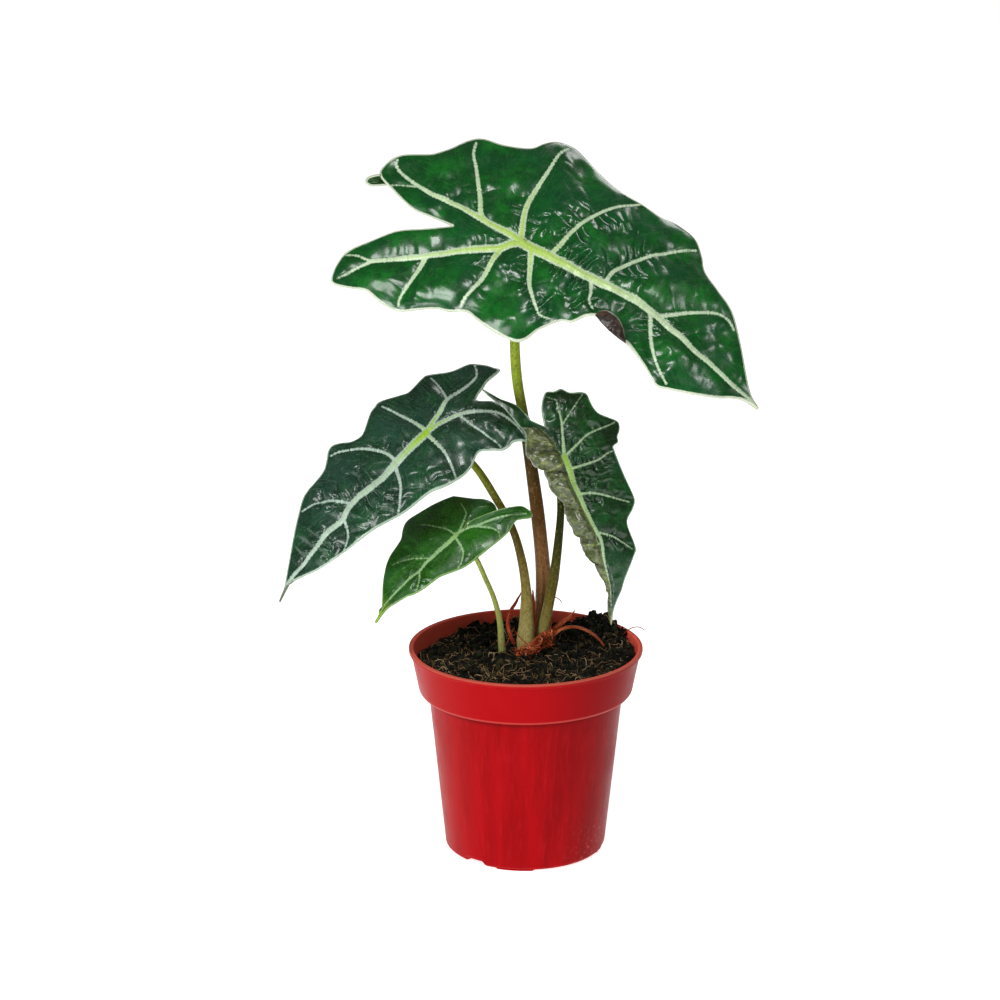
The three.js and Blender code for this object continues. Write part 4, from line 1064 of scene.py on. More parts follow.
# Stations from the stem base up: where, and how wide. The last two lie behind the blade's joint.
stalks = {
    "main": {
        "stations": [
            (20, -78, -37, 7), (20.7, -68, -36, 7.4), (21.5, -50, -30, 7.2), (22, -40, -26.5, 7.8),
            (21.5, -30, -23, 7.4), (19.5, -10, -16, 7.1), (16.9, 10, -10, 6.7), (12, 42, 0, 5.2),
            (8.8, 60, 5.5, 5.2), (7.4, 81, 11, 5.1), (8.5, 110, 16.5, 5),
        ],
        "top": 5.4,
        "colours": [
            (0.0, (150, 108, 66)), (0.2, (152, 108, 64)), (0.34, (100, 64, 20)), (0.46, (66, 52, 6)),
            (0.56, (64, 68, 6)), (0.66, (136, 160, 36)), (1.0, (178, 210, 66)),
        ],
        "speck": (58, 36, 12), "fleck": (176, 140, 96), "gapShade": 0.26,
    },
    "left": {
        "stations": [
            (13.6, -80, -26, 8.6), (13.2, -71, -24.5, 9.6), (13.5, -60, -22.5, 7.2),
            (13.2, -45, -18, 5.1), (10.9, -30, -13.5, 4.4), (6.5, -15, -9.5, 3.9), (-1.6, 0, -6.5, 4),
            (-13.3, 17.6, -4.5, 3.8), (-25, 27, -7, 3.8),
        ],
        "top": 4.2,
        "colours": [
            (0.0, (186, 172, 112)), (0.12, (168, 156, 92)), (0.24, (140, 126, 58)), (0.42, (92, 78, 18)),
            (0.6, (104, 104, 24)), (0.78, (140, 156, 40)), (1.0, (156, 180, 56)),
        ],
        "speck": (82, 62, 16), "fleck": (196, 186, 132), "gapShade": 0.0,
    },
    "small": {
        "stations": [
            (1, -75, -27, 3.9), (0, -62, -21.5, 3.1), (-3, -50, -16, 2.6), (-7.3, -40, -11.5, 2.6),
            (-12, -30, -8, 2.6), (-16.8, -23.5, -6.5, 2.6),
        ],
        "buried": [(1, 8, 96.5, 3.4), (-6, 7, 96.5, 3.6), (-11, 4.8, 99.6, 3.7)],
        "top": 2.8,
        "colours": [
            (0.0, (192, 180, 122)), (0.3, (178, 182, 104)), (0.5, (178, 194, 100)),
            (1.0, (182, 206, 98)),
        ],
        "speck": (126, 126, 44), "fleck": (208, 216, 150), "gapShade": 0.0,
    },
    "right": {
        "stations": [
            (21.2, -79, -30, 5.4), (22, -66.5, -28, 6.2), (24.3, -54.7, -23.5, 5.5),
            (27.2, -40, -18.5, 5.3), (29.7, -20, -14, 4.3), (30.8, -5, -12, 3.8), (30.4, 7, -11, 3.8),
            (30.2, 15, -5, 3.8),
        ],
        "top": 4.0,
        "colours": [
            (0.0, (180, 162, 104)), (0.12, (160, 148, 84)), (0.25, (112, 100, 36)), (0.42, (66, 68, 8)),
            (0.6, (34, 46, 2)), (0.8, (30, 46, 2)), (1.0, (100, 134, 30)),
        ],
        "speck": (40, 34, 4), "fleck": (150, 144, 74), "gapShade": 0.0,
    },
}


stalkForm = {"jointDepths": (8, 0.9), "around": 40, "rows": 190}


# A stalk's skin: colours along its length, streaks that run with it, and a fine mottle of dark and pale
# specks. A dark line low down one side, where a stalk has one, is painted shade in the gap beside another
# stalk.
def stalkFinish(name, look):
    box = Paintbox(name, Roughness=0.42, Specular_IOR_Level=0.1)
    along = box.mark("along")
    wander = box.times(box.maths("SUBTRACT", box.noise(9, 2.0), 0.5), 0.12)
    fine = box.noise(0.9, 3.0, 0.75, stretch=(1, 1, 0.6))
    streaks = box.streaks(14.0, 3.0, 3.0, 0.6)
    colour = box.veiled(
        box.ramp(box.plus(along, wander, clamp=True), look["colours"]),
        (look["speck"], fine, 0.46, 0.64, 0.55),
        (look["fleck"], box.noise(1.0, 3.0, 0.7, stretch=(1, 1, 0.6)), 0.54, 0.68, 0.5),
        (look["speck"], streaks, 0.4, 0.75, 0.35),
    )
    # painted shade: a dark line low down one side, in the gap between stalks
    if look["gapShade"]:
        aside = box.maths("ABSOLUTE", box.maths("SUBTRACT", box.mark("girth"), 0.74))
        low = box.ease(along, look["gapShade"], look["gapShade"] * 0.5, 0.0, 0.75)
        colour = box.blend(box.times(box.ease(aside, 0.05, 0.02), low), colour, look["speck"])
    normal = box.bump(fine, 0.04, box.bump(streaks, 0.12))
    return box.finish(colour, box.ease(fine, 0.3, 0.7, 0.36, 0.5), normal)


# A stalk runs through its stations, from any buried ones up to two that come square to its blade, the last
# one just short of the joint. It is faintly ribbed along and across.
def growStalk(name, leaf):
    look = stalks[name]
    stations = [(x, y, z, wide, wide) for x, y, z, wide in look.get("buried", [])]
    stations += [(*place(*spot), wide, wide) for *spot, wide in look["stations"]]
    joint, square = place(*leaf["joint"]), squareOf(leaf)
    for depth in stalkForm["jointDepths"]:
        stations.append((*(joint - square * depth), look["top"], look["top"]))

    def ribbed(along, turn):
        ribs = 0.018 * np.sin(5 * turn + 6 * along) + 0.012 * np.sin(9 * turn)
        return 1 + ribs + 0.01 * np.sin(40 * along)

    skin = stalkSkin(stations, stalkForm["around"], stalkForm["rows"], shape=ribbed)
    makePiece(f"{name}_leaf_stalk", skin, stalkFinish(f"{name} stalk", look), [f"{name}_stem"])


pot = {
    "rimRadius": 60, "height": 108, "collarFoot": 85.2, "collarFootRadius": 54.9, "shoulderRadius": 49.8,
    "baseRadius": 41.2, "wall": 1.7, "lipHeight": 1.8, "lipStep": 1.2, "lipWidth": 2.4, "floorLift": 2.6,
    "centrePadRadius": 12, "footRadius": 38.2, "footWidth": 2.8, "around": 360, "longestStep": 2.2,
}
foot = {
    "pads": 4, "firstTurn": -98, "spread": 28, "relief": 0.8, "slots": 3, "firstSlot": -130,
    "slotWide": 11.5, "slotTall": 3.4, "holes": 6, "holeRadius": 4, "holeCircle": 25,
    "slotsBeyond": 34.5, "padsBeyond": 30,
}


# Each corner of a profile becomes a short curve: a quadratic between the points a radius away on either
# side.
def roundedProfile(corners, longest):
    points = [np.array(corners[0][:2], float)]
    for before, corner, after in zip(corners[:-2], corners[1:-1], corners[2:]):
        here = np.array(corner[:2], float)
        back = np.array(before[:2], float) - here
        ahead = np.array(after[:2], float) - here
        radius = min(corner[2], 0.45 * np.linalg.norm(back), 0.45 * np.linalg.norm(ahead))
        start = here + unit(back) * radius
        end = here + unit(ahead) * radius
        t = np.linspace(0, 1, 5)[:, None]
        points.extend(start * (1 - t) ** 2 + here * 2 * t * (1 - t) + end * t**2)
    points.append(np.array(corners[-1][:2], float))
    filled = [points[0]]
    for before, after in zip(points[:-1], points[1:]):
        pieces = max(1, math.ceil(np.linalg.norm(after - before) / longest))
        filled.extend(before + (after - before) * step / pieces for step in range(1, pieces + 1))
    return np.array(filled)


# Half of the pot's section as (radius, height, rounding): under the floor, out round the foot, up the
# outside, over the lip and down the inside.
def potProfile():
    footIn, footOut = (pot["footRadius"] + side * pot["footWidth"] / 2 for side in (-1, 1))
    base, neck, collar, rim = (
        pot[key] for key in ("baseRadius", "shoulderRadius", "collarFootRadius", "rimRadius")
    )
    pad, lift, collarFoot, top, wall = (
        pot[key] for key in ("centrePadRadius", "floorLift", "collarFoot", "height", "wall")
    )
    shoulder = collarFoot - 1.6
    lipFoot = top - pot["lipHeight"]
    return [
        (0, 0, 0), (pad, 0, 0.4), (pad + 1.5, lift, 0.5), (footIn - 0.5, lift, 0.5), (footIn, 0, 0.3),
        (footOut, 0, 0.3), (footOut + 0.2, 1.3, 0.2), (base - 0.5, 1.6, 0.3), (base, 2.4, 0.6),
        (neck, shoulder, 0.4), (collar - 1, collarFoot - 0.4, 0.5), (collar, collarFoot + 0.8, 0.8),
        (rim - pot["lipStep"], lipFoot - 0.6, 0.3), (rim, lipFoot, 0.25), (rim, top, 0.7),
        (rim - pot["lipWidth"], top, 0.7), (collar - wall - 0.2, collarFoot + 1.2, 1.0),
        (neck - wall, shoulder - 1, 1.0), (base - wall, lift + wall + 0.8, 0.5),
        (base - wall - 0.8, lift + wall, 0.4), (0, lift + wall, 0),
    ]


# The pot's inner radius at a height, between the collar's foot and the lip.
def innerRadius(height):
    heights = (pot["collarFoot"] + 1.2, pot["height"] - 0.4)
    radii = (pot["collarFootRadius"] - pot["wall"] - 0.2, pot["rimRadius"] - pot["lipWidth"])
    return np.interp(height, heights, radii)


# 1 where a turn lies in one of the evenly spaced patches round the axis, 0 outside, with an eased edge 1
# wide. A patch's width is in the measure that scale turns radians into.
def patchesRound(turn, count, first, wide, scale):
    inside = np.zeros_like(turn)
    for step in range(count):
        middle = math.radians(first + 360 * step / count)
        aside = np.abs(np.angle(np.exp(1j * (turn - middle)))) * scale
        inside = np.maximum(inside, 1 - easeBetween(wide / 2 - 0.5, wide / 2 + 0.5, aside))
    return inside


# The profile turned round the axis. Near the ground the slots and the spaces between the pads are raised,
# and the wall is a little out of round.
def potSkin():
    profile = roundedProfile(potProfile(), pot["longestStep"])
    turn = -fullTurn(pot["around"])
    radius, level = profile[1:-1, :1], profile[1:-1, 1:]
    height = np.broadcast_to(level, (len(level), len(turn)))
    slot = patchesRound(turn, foot["slots"], foot["firstSlot"], foot["slotWide"], pot["baseRadius"])
    inWall = (height < foot["slotTall"]) & (radius > foot["slotsBeyond"])
    height = np.where(inWall, height + (foot["slotTall"] - height) * slot, height)
    pad = patchesRound(turn, foot["pads"], foot["firstTurn"], foot["spread"], math.degrees(1))
    inRing = (height < foot["relief"]) & (radius > foot["padsBeyond"])
    height = np.where(inRing, height + (foot["relief"] - height) * (1 - pad), height)
    wobble = (np.sin(3 * turn + 1) * 0.12 + np.sin(7 * turn) * 0.05)[None] * easeBetween(10, 60, height)
    rings = np.stack([(radius + wobble) * np.cos(turn), (radius + wobble) * np.sin(turn), height], axis=-1)
    past = np.arange(len(level))[:, None] > level.argmax()
    collarFoot = pot["collarFoot"]
    ledge = (np.abs(level - collarFoot - 0.4) < 0.6) & (radius > pot["shoulderRadius"] + 3)
    shaded = easeBetween(collarFoot - 4.0, collarFoot - 1.2, level) * (level < collarFoot - 0.8)
    # Where painted light goes: the paler inside, painted shade under the collar, painted highlights on the
    # ledge at the collar's foot and on the lip.
    marks = {
        "inside": past & (level > 60),
        "lip": easeBetween(pot["height"] - 0.9, pot["height"] - 0.2, level) * ~past,
        "ledge": ledge & ~past,
        "shaded": shaded * ~past,
    }
    marks = {name: np.broadcast_to(values, height.shape).astype(float) for name, values in marks.items()}
    return ringSkin((0, 0, 0), rings, (0, 0, profile[-1, 1]), marks)


# Red plastic: drawn streaks down the wall, painted shade that darkens the right side and a painted sheen
# that pales the left, a chalky bloom low down at the right, painted highlights along the lip and the
# collar's foot, and fine dust. The inside is painted paler as light falling on it, and painted shade darkens
# the wall under the collar.
def potFinish():
    box = Paintbox("red plastic", Roughness=0.34, Specular_IOR_Level=0.05)
    streak = box.noise(8, 3.0, 0.55, stretch=(1, 1, 0.04))
    thin = box.noise(1.4, 3.0, 0.6, stretch=(1, 1, 0.03))
    cloud = box.noise(16, 3.0, 0.6)
    grit = box.noise(0.6, 2.0, 0.6)
    across, height = (box.add("SeparateXYZ", {0: box.where}, axis) for axis in (0, 2))
    wall = box.ease(height, 0.088, 0.08)
    bloom = box.times(box.ease(height, 0.03, 0.005), box.ease(across, 0.015, 0.04))
    chalk = box.ease(box.noise(2.2, 4.0, 0.7), 0.52, 0.68, 0.0, 0.6)
    colour = box.blend(box.times(box.ease(streak, 0.35, 0.65), wall), (170, 4, 13), (150, 3, 9))
    # painted shade: the right side darker
    colour = box.veiled(colour, ((116, 0, 4), across, 0.0, 0.045, 0.6))
    colour = box.blend(box.times(box.ease(thin, 0.5, 0.7, 0.0, 0.34), wall), colour, (182, 22, 28))
    colour = box.veiled(
        colour,
        ((180, 20, 26), cloud, 0.55, 0.75, 0.2),
        # painted sheen: the left side paler
        ((172, 52, 46), across, -0.02, -0.055, 0.24),
    )
    colour = box.blend(box.times(bloom, chalk), colour, (206, 88, 78))
    colour = box.veiled(colour, ((206, 76, 68), grit, 0.7, 0.78, 0.3))
    # painted light: the inside paler, painted shade under the collar, painted highlights on the collar's
    # foot and lip
    for mark, share, tint in (
        ("inside", 0.94, (255, 104, 84)), ("shaded", 0.75, (84, 0, 0)),
        ("ledge", 0.36, (206, 92, 82)), ("lip", 0.6, (226, 124, 102)),
    ):
        colour = box.blend(box.times(box.mark(mark), share), colour, tint)
    normal = box.bump(grit, 0.01, box.bump(thin, 0.03))
    return box.finish(colour, box.ease(cloud, 0.3, 0.7, 0.3, 0.42), normal)


# The pot, with its drain holes drilled by upright rods that reach through the floor.
def throwPot():
    piece = makePiece("nursery_pot", potSkin(), potFinish(), ["pot"])
    rods = []
    for step in range(foot["holes"]):
        turn = math.radians(360 * step / foot["holes"])
        centre = (foot["holeCircle"] * math.cos(turn), foot["holeCircle"] * math.sin(turn))
        wide = foot["holeRadius"] * 2
        rods.append(stalkSkin([(*centre, height, wide, wide) for height in (-2, 3, 8)], 28, 3))
    skin = joined(rods)
    drill = bpy.data.meshes.new("drill")
    drill.from_pydata((skin["points"] * metre).tolist(), [], skin["quads"].tolist() + skin["tris"].tolist())
    tool = bpy.data.objects.new("drill", drill)
    bpy.context.scene.collection.objects.link(tool)
    cut = piece.modifiers.new("holes", "BOOLEAN")
    cut.operation = "DIFFERENCE"
    cut.solver = "EXACT"
    cut.object = tool
    evaluated = piece.evaluated_get(bpy.context.evaluated_depsgraph_get())
    drilled = bpy.data.meshes.new_from_object(evaluated)
    piece.modifiers.clear()
    piece.data = drilled
    bpy.data.objects.remove(tool)


soil = {
    "level": 101.5, "around": 420, "rows": 150, "wallGap": 0.4, "floorGap": 0.3, "calmEdge": 3,
    # heaps and a hollow: x, y, how tall, how wide
    "mounds": [(38, 33, 8.5, 10), (49, 10, 3.5, 8), (8, 10, 2.5, 18), (10, -38, 2, 16), (-42, 24, -3, 14)],
    # lumps: size, how tall, seed
    "lumps": [(11, 1.3, 21), (5.2, 1.1, 22), (2.6, 0.7, 23), (1.4, 0.4, 24)],
}


# The soil's height: its level, heaps and a hollow like bells, and a slow ripple.
def soilHeight(x, y):
    heap = sum(
        tall * np.exp(-((x - middleX) ** 2 + (y - middleY) ** 2) / (2 * spread**2))
        for middleX, middleY, tall, spread in soil["mounds"]
    )
    return soil["level"] + heap + 0.5 * np.sin(x * 0.45) * np.cos(y * 0.4)


# Lumps with sharp seams between them, at four sizes: the absolute value of lattice noise.
def soilLumps(x, y):
    spot = np.stack([x, y, np.zeros_like(x)], axis=-1)
    return sum(
        tall * (np.abs(latticeNoise(spot, size, seed)) * 2 - 0.5) for size, tall, seed in soil["lumps"]
    )


# The soil fills the pot: rings up along the inside of its wall, then inwards over the top, which is calmer
# at the edge.
def soilSkin():
    turn = -fullTurn(soil["around"])
    gap, wall = soil["wallGap"], pot["wall"]
    bottom = pot["floorLift"] + wall + soil["floorGap"]
    collar = pot["collarFoot"] + 1.2
    baseIn, neckIn = pot["baseRadius"] - wall, pot["shoulderRadius"] - wall
    outline = [
        (baseIn - 1.2, bottom), (baseIn - gap - 0.2, bottom + 1), (neckIn - gap, pot["collarFoot"] - 2.6),
        (innerRadius(collar) - gap, collar),
    ]
    radii, heights = np.array(outline).T
    edge = float(innerRadius(soil["level"])) - gap
    radius = np.concatenate([radii, edge * np.linspace(1, 0.01, soil["rows"])])[:, None]
    x, y = radius * np.cos(turn), radius * np.sin(turn)
    calmed = 0.4 + 0.6 * easeBetween(0, soil["calmEdge"], edge - radius)
    height = soilHeight(x, y) + soilLumps(x, y) * calmed
    height[:len(outline)] = heights[:, None]
    return ringSkin((0, 0, bottom), np.stack([x, y, height], axis=-1), (0, 0, float(soilHeight(0.0, 0.0))))


# Nearly black peat: a ramp on coarse noise, with brown grains and dull green ones on finer noise.
def soilFinish():
    box = Paintbox("peaty soil", Roughness=0.95, Specular_IOR_Level=0.25)
    fine = box.noise(0.9, 4.0, 0.7)
    colour = box.veiled(
        box.ramp(box.noise(5, 4.0, 0.65), [(0.3, (5, 5, 4)), (0.5, (14, 14, 9)), (0.7, (26, 24, 15))]),
        ((56, 48, 28), fine, 0.58, 0.75, 0.6),
        ((34, 50, 26), box.noise(1.6, 3.0, 0.6), 0.62, 0.7, 0.6),
    )
    return box.finish(colour, None, box.bump(fine, 0.5))


# Loose threads in whole arrays: each is a path of a few points with a thin four-sided section round it,
# tapered at both ends.
def threadSkin(paths, radii, shades):
    count, points = paths.shape[:2]
    heading = unit(np.gradient(paths, axis=1))
    across = unit(np.cross(heading, np.array([0.31, 0.2, 0.93])))
    front = np.cross(heading, across)
    turn = -fullTurn(4)
    taper = np.interp(np.linspace(0, 1, points), (0, 0.2, 0.8, 1), (0.35, 1, 1, 0.3))
    size = (radii[:, None] * taper[None])[..., None, None]
    rings = paths[:, :, None] + size * (
        across[:, :, None] * np.cos(turn)[:, None] + front[:, :, None] * np.sin(turn)[:, None]
    )
    index = np.arange(count * points * 4).reshape(count, points, 4)
    beside = np.roll(index, -1, axis=2)
    sides = np.stack([index[:, :-1], index[:, 1:], beside[:, 1:], beside[:, :-1]], axis=-1).reshape(-1, 4)
    quads = np.vstack([sides, index[:, 0], index[:, -1, ::-1]])
    marks = {"shade": np.broadcast_to(shades[:, None, None], rings.shape[:-1]).ravel()}
    return {"points": rings.reshape(-1, 3), "quads": quads, "tris": np.zeros((0, 3), int), "marks": marks}


fibres = {"count": 1500, "long": 330, "points": 9, "seed": 31, "edgeGap": 2.5, "bend": 0.8, "arch": 0.8}


# Peat fibres: each wanders over the soil from a random spot, a bent arc that rises from it and falls back.
# The first ones are long and pale, and more of them lie at the front and the left.
def fibreSkin():
    dice = diceOf(fibres["seed"])
    count, points = fibres["count"], fibres["points"]
    edge = float(innerRadius(soil["level"])) - fibres["edgeGap"]
    radius = edge * np.sqrt(dice.uniform(0, 1, count))
    turn = dice.uniform(0, 2 * np.pi, count)
    start = np.stack([radius * np.cos(turn), radius * np.sin(turn)], axis=-1)
    pale = np.arange(count) < fibres["long"]
    inward = np.hypot(*start[pale].T) < edge - 20
    start[pale] -= dice.uniform(0, 14, (fibres["long"], 2)) * inward[:, None]
    length = np.where(pale, dice.uniform(4, 14, count), dice.gamma(2.0, 2.4, count).clip(1.5, 12))
    way = dice.uniform(0, 2 * np.pi, count)
    bend = dice.normal(0, fibres["bend"], count)
    share = np.linspace(0, 1, points)
    angle = way[:, None] + bend[:, None] * share + dice.normal(0, 0.28, (count, points))
    step = (length / points)[:, None]
    x = start[:, :1] + np.cumsum(step * np.cos(angle), axis=1)
    y = start[:, 1:] + np.cumsum(step * np.sin(angle), axis=1)
    beyond = np.maximum(1, np.hypot(x, y) / edge)
    x, y = x / beyond, y / beyond
    arch = dice.exponential(fibres["arch"], count)[:, None] * np.sin(np.pi * share)
    z = soilHeight(x, y) + soilLumps(x, y) + 0.25 + arch + dice.normal(0, 0.12, (count, points))
    radii = np.where(pale, dice.uniform(0.08, 0.14, count), dice.uniform(0.06, 0.14, count))
    shades = np.where(pale, dice.uniform(0.7, 1, count), dice.uniform(0, 0.7, count))
    return threadSkin(np.stack([x, y, z], axis=-1), radii, shades)


crumbs = {
    "count": 2600, "seed": 41, "edgeGap": 1.6, "heap": (39, 32), "heapSpread": (7.5, 6.5),
    "heapedOneIn": 7, "sizes": (2.2, 0.38), "least": 0.3, "most": 3.0,
}


# Soil crumbs: twenty-faced bodies, each stretched, dented and turned at random. They lie on the soil, more
# of them on the tall heap.
def crumbSkin():
    dice = diceOf(crumbs["seed"])
    count = crumbs["count"]
    golden = (1 + 5**0.5) / 2
    body = np.array([
        (-1, golden, 0), (1, golden, 0), (-1, -golden, 0), (1, -golden, 0), (0, -1, golden),
        (0, 1, golden), (0, -1, -golden), (0, 1, -golden), (golden, 0, -1), (golden, 0, 1),
        (-golden, 0, -1), (-golden, 0, 1),
    ]) / math.hypot(1, golden)
    faces = np.array([
        (0, 11, 5), (0, 5, 1), (0, 1, 7), (0, 7, 10), (0, 10, 11), (1, 5, 9), (5, 11, 4), (11, 10, 2),
        (10, 7, 6), (7, 1, 8), (3, 9, 4), (3, 4, 2), (3, 2, 6), (3, 6, 8), (3, 8, 9), (4, 9, 5),
        (2, 4, 11), (6, 2, 10), (8, 6, 7), (9, 8, 1),
    ])
    edge = float(innerRadius(soil["level"])) - crumbs["edgeGap"]
    radius = edge * np.sqrt(dice.uniform(0, 1, count))
    turn = dice.uniform(0, 2 * np.pi, count)
    x, y = radius * np.cos(turn), radius * np.sin(turn)
    heaped = count // crumbs["heapedOneIn"]
    for values, middle, spread in zip((x, y), crumbs["heap"], crumbs["heapSpread"]):
        values[:heaped] = middle + dice.normal(0, spread, heaped)
    strayed = np.maximum(1, np.hypot(x, y) / (edge + 1))
    x, y = x / strayed, y / strayed
    size = dice.gamma(*crumbs["sizes"], count).clip(crumbs["least"], crumbs["most"])
    z = soilHeight(x, y) + soilLumps(x, y) + size * dice.uniform(-0.1, 0.6, count)
    z[:heaped] += dice.uniform(0, 1.6, heaped)
    dents = body[None] * dice.uniform(0.45, 1.35, (count, 12, 1)) * dice.uniform(0.6, 1.3, (count, 1, 3))
    first, second = (dice.uniform(0, 2 * np.pi, count) for _ in range(2))
    cosA, sinA, cosB, sinB = np.cos(first), np.sin(first), np.cos(second), np.sin(second)
    zero, one = np.zeros(count), np.ones(count)
    spin = np.array([[cosA, -sinA, zero], [sinA, cosA, zero], [zero, zero, one]]).transpose(2, 0, 1)
    tilt = np.array([[one, zero, zero], [zero, cosB, -sinB], [zero, sinB, cosB]]).transpose(2, 0, 1)
    shaped = np.einsum("nij,njk,nmk->nmi", tilt, spin, dents) * size[:, None, None]
    points = shaped + np.stack([x, y, z], axis=-1)[:, None]
    tris = (faces[None] + 12 * np.arange(count)[:, None, None]).reshape(-1, 3)
    shade = np.repeat(dice.uniform(0, 1, count), 12)
    quads = np.zeros((0, 4), int)
    return {"points": points.reshape(-1, 3), "quads": quads, "tris": tris, "marks": {"shade": shade}}


# Fibres from dark to pale by their shade, with darker spots.
def fibreFinish():
    box = Paintbox("peat fibres", Roughness=0.7)
    colour = box.ramp(box.mark("shade"), [
        (0.0, (26, 22, 10)), (0.35, (66, 50, 22)), (0.6, (116, 90, 46)), (0.8, (196, 150, 98)),
        (1.0, (238, 208, 160)),
    ])
    colour = box.veiled(colour, ((60, 44, 22), box.noise(0.8, 3.0, 0.7), 0.5, 0.7, 0.4))
    return box.finish(colour, None, box.bump(box.noise(0.4, 2.0), 0.05))


# Crumbs from nearly black to brown by their shade, with paler specks.
def crumbFinish():
    box = Paintbox("peat crumbs", Roughness=0.95, Specular_IOR_Level=0.2)
    colour = box.ramp(box.mark("shade"), [
        (0.0, (4, 4, 3)), (0.5, (12, 13, 8)), (0.72, (22, 27, 15)), (0.9, (38, 46, 24)), (1.0, (70, 58, 30)),
    ])
    colour = box.veiled(colour, ((54, 52, 32), box.noise(0.6, 3.0, 0.7), 0.5, 0.7, 0.5))
    return box.finish(colour, None, box.bump(box.noise(0.5, 3.0, 0.7), 0.3))


corm = {"x": 6, "y": 9, "bottom": 84, "top": 107.5, "radius": 10.5, "rows": 60, "around": 96, "seed": 51}


# The stem base: an egg turned round, with scar rings and a rough bark.
def cormSkin():
    x, y, bottom, top, radius = (corm[key] for key in ("x", "y", "bottom", "top", "radius"))
    lift = np.linspace(-np.pi / 2, np.pi / 2, corm["rows"] + 2)[1:-1][:, None]
    turn = -fullTurn(corm["around"])[None]
    flat = np.cos(lift)
    way = np.stack([flat * np.cos(turn), flat * np.sin(turn), np.sin(lift) + 0 * turn], axis=-1)
    scars = np.sin(lift * 22 + np.sin(turn * 3)) * flat
    rough = 0.5 * latticeNoise(way * 10, 3.2, corm["seed"]) + 0.35 * scars
    rings = way * (np.array([radius, radius, (top - bottom) / 2]) + (rough - 0.6)[..., None])
    return ringSkin((x, y, bottom), rings + np.array([x, y, (bottom + top) / 2]), (x, y, top - 0.5))


# Brown bark: a ramp on noise that is flattened into level bands.
def cormFinish():
    box = Paintbox("stem base bark", Roughness=0.85)
    bark = box.noise(2.4, 4.0, 0.65, stretch=(1, 1, 2.5))
    colour = box.ramp(bark, [(0.3, (48, 28, 18)), (0.5, (104, 62, 38)), (0.7, (150, 102, 66))])
    return box.finish(colour, None, box.bump(bark, 0.4))


# Papery sheaths: fibres that run lengthwise, dark patches and pale worn flecks.
def sheathFinish(name, dark, middle, light):
    box = Paintbox(name, Roughness=0.55, Specular_IOR_Level=0.25)
    grain = box.streaks(18.0, 5.0, 4.0, 0.65)
    patch = box.noise(1.5, 4.0, 0.7)
    colour = box.veiled(
        box.ramp(grain, [(0.3, dark), (0.5, middle), (0.72, light)]),
        (dark, patch, 0.5, 0.7, 0.6),
        (light, box.noise(0.7, 3.0, 0.7), 0.6, 0.75, 0.6),
    )
    return box.finish(colour, None, box.bump(patch, 0.2, box.bump(grain, 0.35)))


sheaths = {
    "crown_sheath": {
        "face": (0.5, -0.85, 0.2),
        "stations": [
            (8.5, -77.5, -22, 1.5, 1.2), (13, -78, -19.5, 4, 1.6), (18.5, -74.5, -19.5, 8, 1.8),
            (23, -70.5, -21.5, 7.5, 1.8), (26.5, -68.5, -25, 4, 1.4),
        ],
        "crumple": 0.35, "paper": "red papery sheath",
    },
    "arching_sheath": {
        "face": (0, 0, 1),
        "stations": [
            (25.6, -76, -32, 2.4, 1.2), (27.6, -69, -28.6, 3.2, 1.2), (31.5, -65.3, -27.5, 3.4, 1.2),
            (38.5, -64.4, -27, 3.4, 1.1), (45.5, -67, -26.5, 3, 1), (50, -70.5, -26, 2.2, 0.9),
            (52.8, -74, -25.5, 1, 0.7),
        ],
        "crumple": 0.16, "paper": "red papery sheath",
    },
    "pointed_sheath": {
        "face": (0, -1, 0.3),
        "stations": [
            (25.2, -75, -35, 2.2, 1), (27.6, -66.5, -32.4, 3.4, 1), (31, -62.4, -32, 2.8, 0.9),
            (35, -59.4, -31.5, 1.6, 0.8), (38, -56, -31, 0.5, 0.4),
        ],
        "crumple": 0.15, "paper": "red papery sheath",
    },
    "thin_sheath": {
        "face": (0, -1, 0.2),
        "stations": [
            (8, -75, -35, 1.6, 0.9), (4.2, -65, -36, 1.8, 0.9), (4.6, -58, -36, 2.2, 0.9),
            (8, -52, -35, 1.4, 0.8), (11, -46.5, -34.5, 0.6, 0.5),
        ],
        "crumple": 0.2, "paper": "brown dry sheath",
    },
    "dry_strip": {
        "face": (0, -1, 0.2),
        "stations": [
            (17.4, -74, -31.6, 1.3, 0.7), (17.2, -62, -29.3, 1.7, 0.7), (17, -52, -26.2, 1.5, 0.7),
            (16.6, -45.5, -24.2, 0.6, 0.5),
        ],
        "crumple": 0.2, "paper": "brown dry sheath",
    },
}


papers = {
    "red papery sheath": [(96, 36, 8), (176, 74, 24), (228, 146, 100)],
    "brown dry sheath": [(92, 24, 8), (196, 64, 26), (240, 130, 84)],
}


# Each sheath is an oval section along its stations, crumpled by lattice noise and a sine round it.
def growSheaths():
    finishes = {name: sheathFinish(name, *colours) for name, colours in papers.items()}
    for number, (name, look) in enumerate(sheaths.items()):
        stations = [(*place(*spot), wide, thick) for *spot, wide, thick in look["stations"]]

        def crumpled(along, turn, size=look["crumple"], seed=60 + number):
            spot = np.stack([along * 30, np.cos(turn) * 2, np.sin(turn) * 2], axis=-1)
            return 1 + size * latticeNoise(spot, 1.3, seed) + size * 0.5 * np.sin(turn * 6 + along * 9)

        skin = stalkSkin(stations, 36, 90, look["face"], crumpled)
        makePiece(f"{name}_paper", skin, finishes[look["paper"]], [name])


